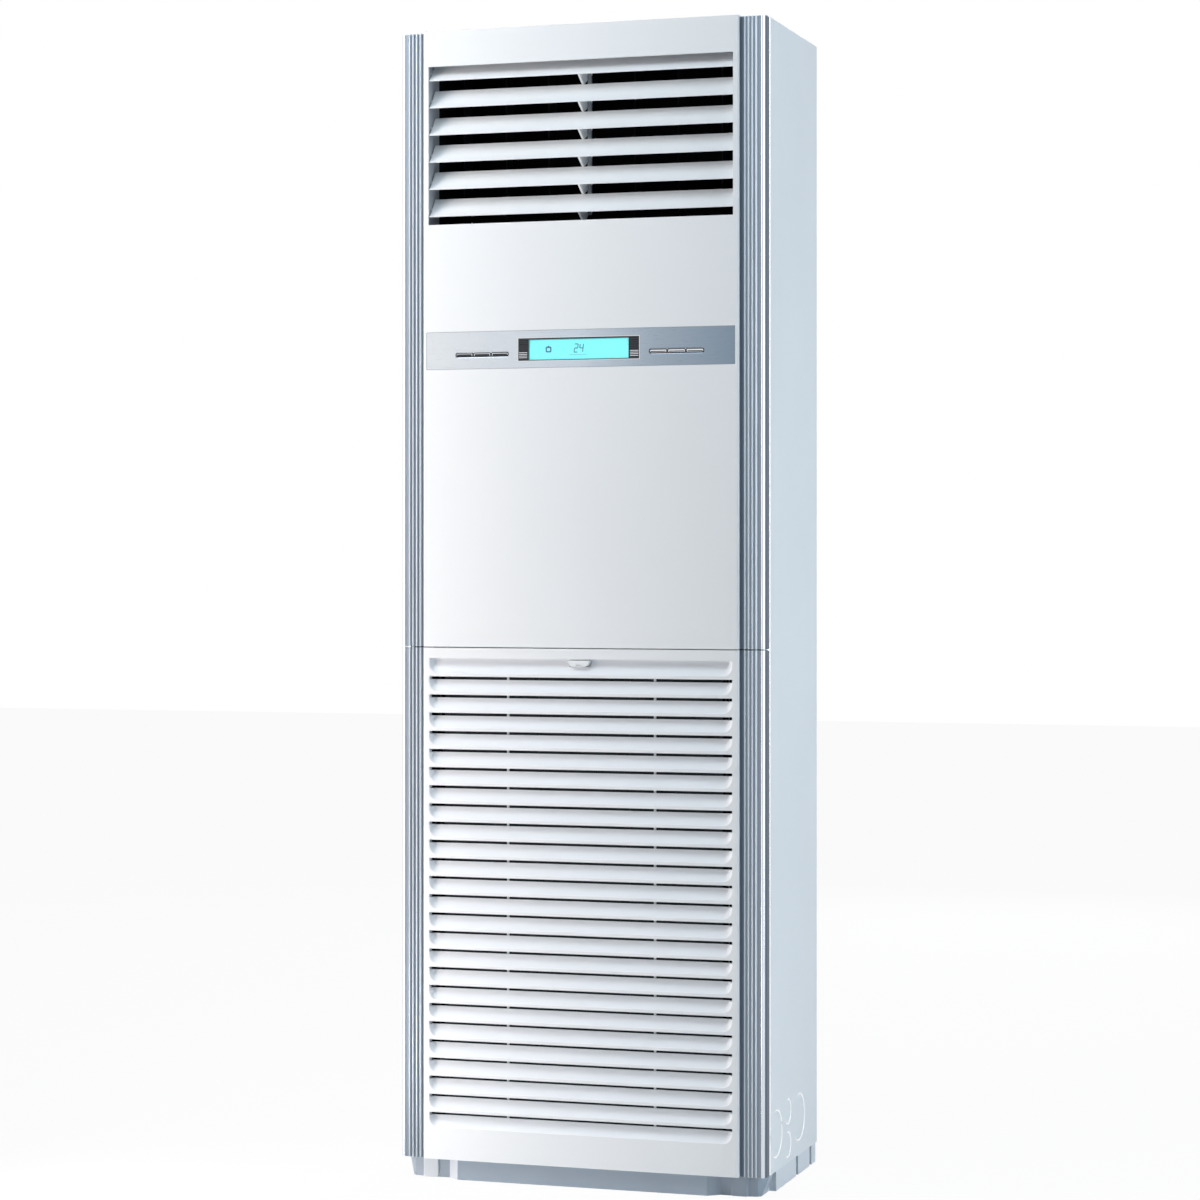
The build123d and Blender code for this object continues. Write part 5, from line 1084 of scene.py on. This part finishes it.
def slab(form, corners, front, rear):
    """A flat plate with (X, height) corners, between two depths."""
    form.prism([(x, front, z) for x, z in corners], [(x, rear, z) for x, z in corners])


def box(x0, x1, z0, z1):
    """Corners of a rectangle, as (X, height)."""
    return [(x0, z0), (x1, z0), (x1, z1), (x0, z1)]


def grown(rectangle, by):
    x0, x1, z0, z1 = rectangle
    return x0 - by, x1 + by, z0 - by, z1 + by


def rounded(x0, x1, z0, z1, radius, left_radius=None):
    """Corners of a rounded rectangle, as (X, height)."""
    left = radius if left_radius is None else left_radius
    corners = []
    for quarter, (right, up, r) in enumerate(
        ((1, 1, radius), (0, 1, left), (0, 0, left), (1, 0, radius))
    ):
        cx = x1 - r if right else x0 + r
        cz = z1 - r if up else z0 + r
        for step in range(CORNER_STEPS + 1):
            angle = math.pi / 2 * (quarter + step / CORNER_STEPS)
            corners.append((cx + r * math.cos(angle), cz + r * math.sin(angle)))
    return corners


def stroke(form, a, b):
    """A straight stroke with pointed ends between two (X, height) points."""
    start, end = Vector(a), Vector(b)
    along = (end - start).normalized() * DIGIT_STROKE / 2
    across = Vector((-along.y, along.x))
    corners = [start - along, start + across, end + across]
    corners += [end + along, end - across, start - across]
    slab(form, [(c.x, c.y) for c in corners], *INK)


def frame_of(form, outer, inner, front, rear):
    """A flat frame between two outlines of equally many (X, height) corners."""
    count = len(outer)
    for i in range(count):
        j = (i + 1) % count
        slab(form, [outer[i], outer[j], inner[j], inner[i]], front, rear)


SEGMENTS = {
    "a": ((0, 2), (1, 2)),
    "b": ((1, 2), (1, 1)),
    "c": ((1, 1), (1, 0)),
    "d": ((0, 0), (1, 0)),
    "e": ((0, 0), (0, 1)),
    "f": ((0, 1), (0, 2)),
    "g": ((0, 1), (1, 1)),
}


def digit(form, segments, x):
    wide, tall = DIGIT_SIZE
    for name in segments:
        (ax, az), (bx, bz) = SEGMENTS[name]
        ends = []
        for share in (DIGIT_GAP, 1 - DIGIT_GAP):
            up = (az + (bz - az) * share) * tall / 2
            ends.append((x + (ax + (bx - ax) * share) * wide + up * DIGIT_SLANT, DIGIT_FOOT + up))
        stroke(form, *ends)


def display():
    window = Form()
    slab(window, rounded(*WINDOW, 0.6), 1.0, 2.2)
    piece(window.data("display_window"), "cabinet", "lens", replaces=["display_lens"])
    ink = Form()
    digit(ink, "abged", -7.9)
    digit(ink, "fgbc", 0.9)
    for i in range(TICKS):
        x = TICK_START + TICK_PITCH * i
        slab(ink, box(x, x + TICK_WIDTH, *TICK_HEIGHTS), *INK)
    piece(ink.data("display_digits"), "cabinet", "lcd_faint", slot="lcd")
    icon = Form()
    frame_of(icon, rounded(*ICON_OUTER), rounded(*ICON_INNER), *INK)
    slab(icon, rounded(*ICON_STEM), *INK)
    piece(icon.data("display_icon"), "cabinet", "lcd_ink", slot="lcd")


def bezel_details():
    """Chrome line round the bezel as a painted highlight of its edge, the bezel's ribs, its dark
    receiver window, and a dark frame round the strip as painted shadow in its gap.
    """
    line = Form()
    # painted highlight: the bezel's edge drawn as a chrome line
    frame_of(line, box(*grown(BEZEL, BEZEL_LINE)), box(*BEZEL), 0.06, 0.9)
    piece(line.data("bezel_painted_highlight_line"), "cabinet", "button_chrome")
    receiver = Form()
    slab(receiver, rounded(*RECEIVER), 0.08, 1.5)
    piece(receiver.data("receiver_window"), "cabinet", "button_line", slot="bezel_dark")
    ribs = Form()
    for x in RIB_STARTS:
        for up in RIB_HEIGHTS:
            z = BEZEL[2] + up
            slab(ribs, box(x, x + RIB_LENGTH, z, z + RIB_WIDTH), 0.08, 0.9)
    piece(ribs.data("bezel_bright_ribs"), "cabinet", "button_chrome")
    # painted shadow in the gap round the strip
    gap = Form()
    inner = rounded(*grown(STRIP, -STRIP_GAP), 2.4)
    frame_of(gap, rounded(*STRIP, 3.0), inner, STRIP_FACE - 0.12, STRIP_FACE + 0.3)
    piece(gap.data("strip_shadow_gap"), "cabinet", "strip_gap", slot="silver_strip")


def divided(corners):
    """The same outline with each edge cut into equal parts."""
    made = []
    for (ax, az), (bx, bz) in zip(corners, corners[1:] + corners[:1]):
        for i in range(EDGE_PARTS):
            made.append((ax + (bx - ax) * i / EDGE_PARTS, az + (bz - az) * i / EDGE_PARTS))
    return made


def key_depth(up):
    """Depth of a key's crowned face at a height above its middle."""
    return KEY_FRONT + KEY_CROWN - math.sqrt(KEY_CROWN**2 - up**2)


def key_lines():
    """Dark inlay along the middle of each key, and a dark line that follows its rim as painted
    shade of the gap round the key.
    """
    for number in range(1, KEYS + 1):
        right = number > KEYS / 2
        x = KEY_PITCH * (number - 3.5) + (KEY_INNER if right else -KEY_INNER)

        def face(wide, tall, z=KEY_HEIGHT):
            return x - wide, x + wide, z - tall, z + tall

        form = Form()
        core = CORE_TALL[right]
        inlay = rounded(*face(CORE_WIDE, core / 2, KEY_HEIGHT - CORE_DROP), core * 0.4)
        slab(form, inlay, 0.02, 0.9)
        # painted shade: a dark ring round the key's rim stands for the gap round it
        bends = [KEY_BEND if number in ends else KEY_CORNER for ends in ((3, 6), (1, 4))]
        outer = divided(rounded(*face(KEY_WIDE, KEY_TALL), *bends))
        inner = face(KEY_WIDE - KEY_RING * RING_SIDE, KEY_TALL - KEY_RING)
        inner = divided(rounded(*inner, *(bend * RING_SIDE for bend in bends)))
        for i in range(len(outer)):
            j = (i + 1) % len(outer)
            corners = (outer[i], outer[j], inner[j], inner[i])
            near = [(px, key_depth(pz - KEY_HEIGHT) - 0.08, pz) for px, pz in corners]
            form.prism(near, [(px, 1.6, pz) for px, pz in corners])
        mesh = form.data(f"button_inlay_and_rim_shade_{number}")
        piece(mesh, f"button_{number}", "button_line", slot="button_chrome")


display()
bezel_details()
key_lines()


# -------------------- base and fine edges

SIDE_SKIRTS = 270.0  # X beyond which a face is on the skirts at the sides
FRONT_SKIRT = 40.0  # depth before which it is on the one at the front
FIRST_NOTCH = 66.5  # depth from which the skirts at the sides are lighter
CORNER_STEP = (-226.0, -200.0)  # the left end of the skirt's middle, where it stands forward
CORNER_PAD = (-272.0, -246.0)
FACING = -0.2  # a normal's share from which a face looks forward, or to the left


def tray_tone_and_painted_light():
    """Lighter skirts at the sides, and painted light on the pad and step at the left of the front.
    """
    tray = NODES["base_tray"].data
    tray.materials.append(LOOKS["base_side"].material)
    for face in tray.polygons:
        x, depth = face.center.x / MM, face.center.y / MM + DEPTH / 2
        # painted light: the pad and the left-facing step at the left of the front skirt are lighter
        pad = CORNER_PAD[0] < x < CORNER_PAD[1]
        step = CORNER_STEP[0] < x < CORNER_STEP[1] and face.normal.x < FACING
        on_side = abs(x) > SIDE_SKIRTS and depth > FIRST_NOTCH
        on_front = depth < FRONT_SKIRT and face.normal.y < FACING
        if on_side or on_front and (pad or step):
            face.material_index = 1


tray_tone_and_painted_light()
for node, width in (
    ("front_panel_upper", 0.5),
    ("top_cover", 0.4),
    ("base_tray", 0.8),
    ("grille_latch", 0.5),
    ("louvre_link", 0.5),
    ("display_bezel", 0.12),
):
    soften(node, width)


# -------------------- stage, lights and camera

LENS = 94.37
CAMERA_PLACE = (1.5655, -4.9105, 1.0)
CAMERA_TURN = 17.88
FLOOR_REACH = 14.0
FLOOR_WHITE = 0.95  # share of plain white in the floor, as the camera sees it
LIGHTS = (  # name, place, target, width, height, energy and colour
    ("key", (-0.85, -0.62, 1.0), (0.0, -0.17, 1.0), 0.4, 3.0, 16.6, (1.0, 0.90, 0.85)),
    ("low_left", (-0.8, -0.6, 0.12), (-0.15, -0.17, 0.03), 0.4, 0.2, 1.7, (1, 1, 1)),
    ("over", (-0.5, -1.8, 3.55), (0.0, -0.17, 1.3), 2.8, 1.8, 40.0, (0.80, 0.92, 1.0)),
    ("upper_left", (-1.5, -1.6, 2.6), (-0.2, -0.17, 1.3), 1.2, 1.8, 11.0, (0.79, 0.92, 1.0)),
    ("fill", (3.4, -0.4, 1.5), (0.3, 0.0, 0.9), 1.8, 2.6, 69.1, (0.77, 0.90, 1.0)),
    ("rear", (0.0, 4.0, 2.0), (0.0, 0.17, 1.0), 0.5, 2.4, 50.0, (0.9, 0.96, 1.0)),
)


def camera():
    data = bpy.data.cameras.new("camera")
    data.lens = LENS
    data.sensor_width = 36.0
    data.shift_y = -41.0 / 1200.0
    data.clip_end = 60.0
    made = linked("camera", data)
    made.location = CAMERA_PLACE
    made.rotation_euler = (math.radians(90), 0, math.radians(CAMERA_TURN))
    bpy.context.scene.camera = made


def soft_box(name, place, target, width, height, energy, colour):
    data = bpy.data.lights.new(name, "AREA")
    data.shape = "RECTANGLE"
    data.size = width
    data.size_y = height
    data.energy = energy
    data.color = colour
    made = linked(name, data)
    made.location = place
    made.rotation_euler = (Vector(target) - Vector(place)).to_track_quat("-Z", "Y").to_euler()


def seen_rays(tree):
    """1 for the rays that show the background: from the camera, in a gloss or through glass."""
    path = tree.nodes.new("ShaderNodeLightPath").outputs
    seen = path["Is Camera Ray"]
    for name in ("Is Glossy Ray", "Is Transmission Ray"):
        most = tree.nodes.new("ShaderNodeMath")
        most.operation = "MAXIMUM"
        tree.links.new(seen, most.inputs[0])
        tree.links.new(path[name], most.inputs[1])
        seen = most.outputs[0]
    return seen


def mixed(tree, share, first, second):
    """Two shaders mixed; the share is that of the second."""
    mix = tree.nodes.new("ShaderNodeMixShader")
    for socket, start in zip(mix.inputs, (share, first, second)):
        tree.links.new(start, socket)
    return mix.outputs[0]


def floor():
    mesh = bpy.data.meshes.new("floor")
    edge = (-FLOOR_REACH, FLOOR_REACH, -FLOOR_REACH, FLOOR_REACH)
    mesh.from_pydata([(x, y, 0) for x, y in box(*edge)], [], [(0, 1, 2, 3)])
    made = linked("floor", mesh)
    look = Look("floor")
    low, high = MIDDLE
    look.tint(look.noise(1.5, 3.0), (low, (0.86, 0.86, 0.87)), (high, (0.88, 0.88, 0.88)))
    look.fixed(Roughness=0.9)
    share = look.math("MULTIPLY", seen_rays(look.tree), FLOOR_WHITE)
    glow = look.node("ShaderNodeEmission")
    glow.inputs["Color"].default_value = (1, 1, 1, 1)
    output = look.tree.nodes["Material Output"]
    shown = mixed(look.tree, share, look.shader.outputs[0], glow.outputs[0])
    look.link(shown, output.inputs["Surface"])
    made.data.materials.append(look.material)


def world():
    """A faint blue world, which the camera sees as plain white."""
    made = bpy.data.worlds.new("studio")
    made.use_nodes = True
    tree = made.node_tree
    background = tree.nodes["Background"]
    background.inputs["Color"].default_value = (0.55, 0.78, 1.0, 1)
    background.inputs["Strength"].default_value = 0.02
    white = tree.nodes.new("ShaderNodeBackground")
    white.inputs["Color"].default_value = (1, 1, 1, 1)
    shown = mixed(tree, seen_rays(tree), background.outputs[0], white.outputs[0])
    tree.links.new(shown, tree.nodes["World Output"].inputs["Surface"])
    bpy.context.scene.world = made


camera()
floor()
world()
for light in LIGHTS:
    soft_box(*light)
bpy.context.scene.view_settings.view_transform = "Standard"
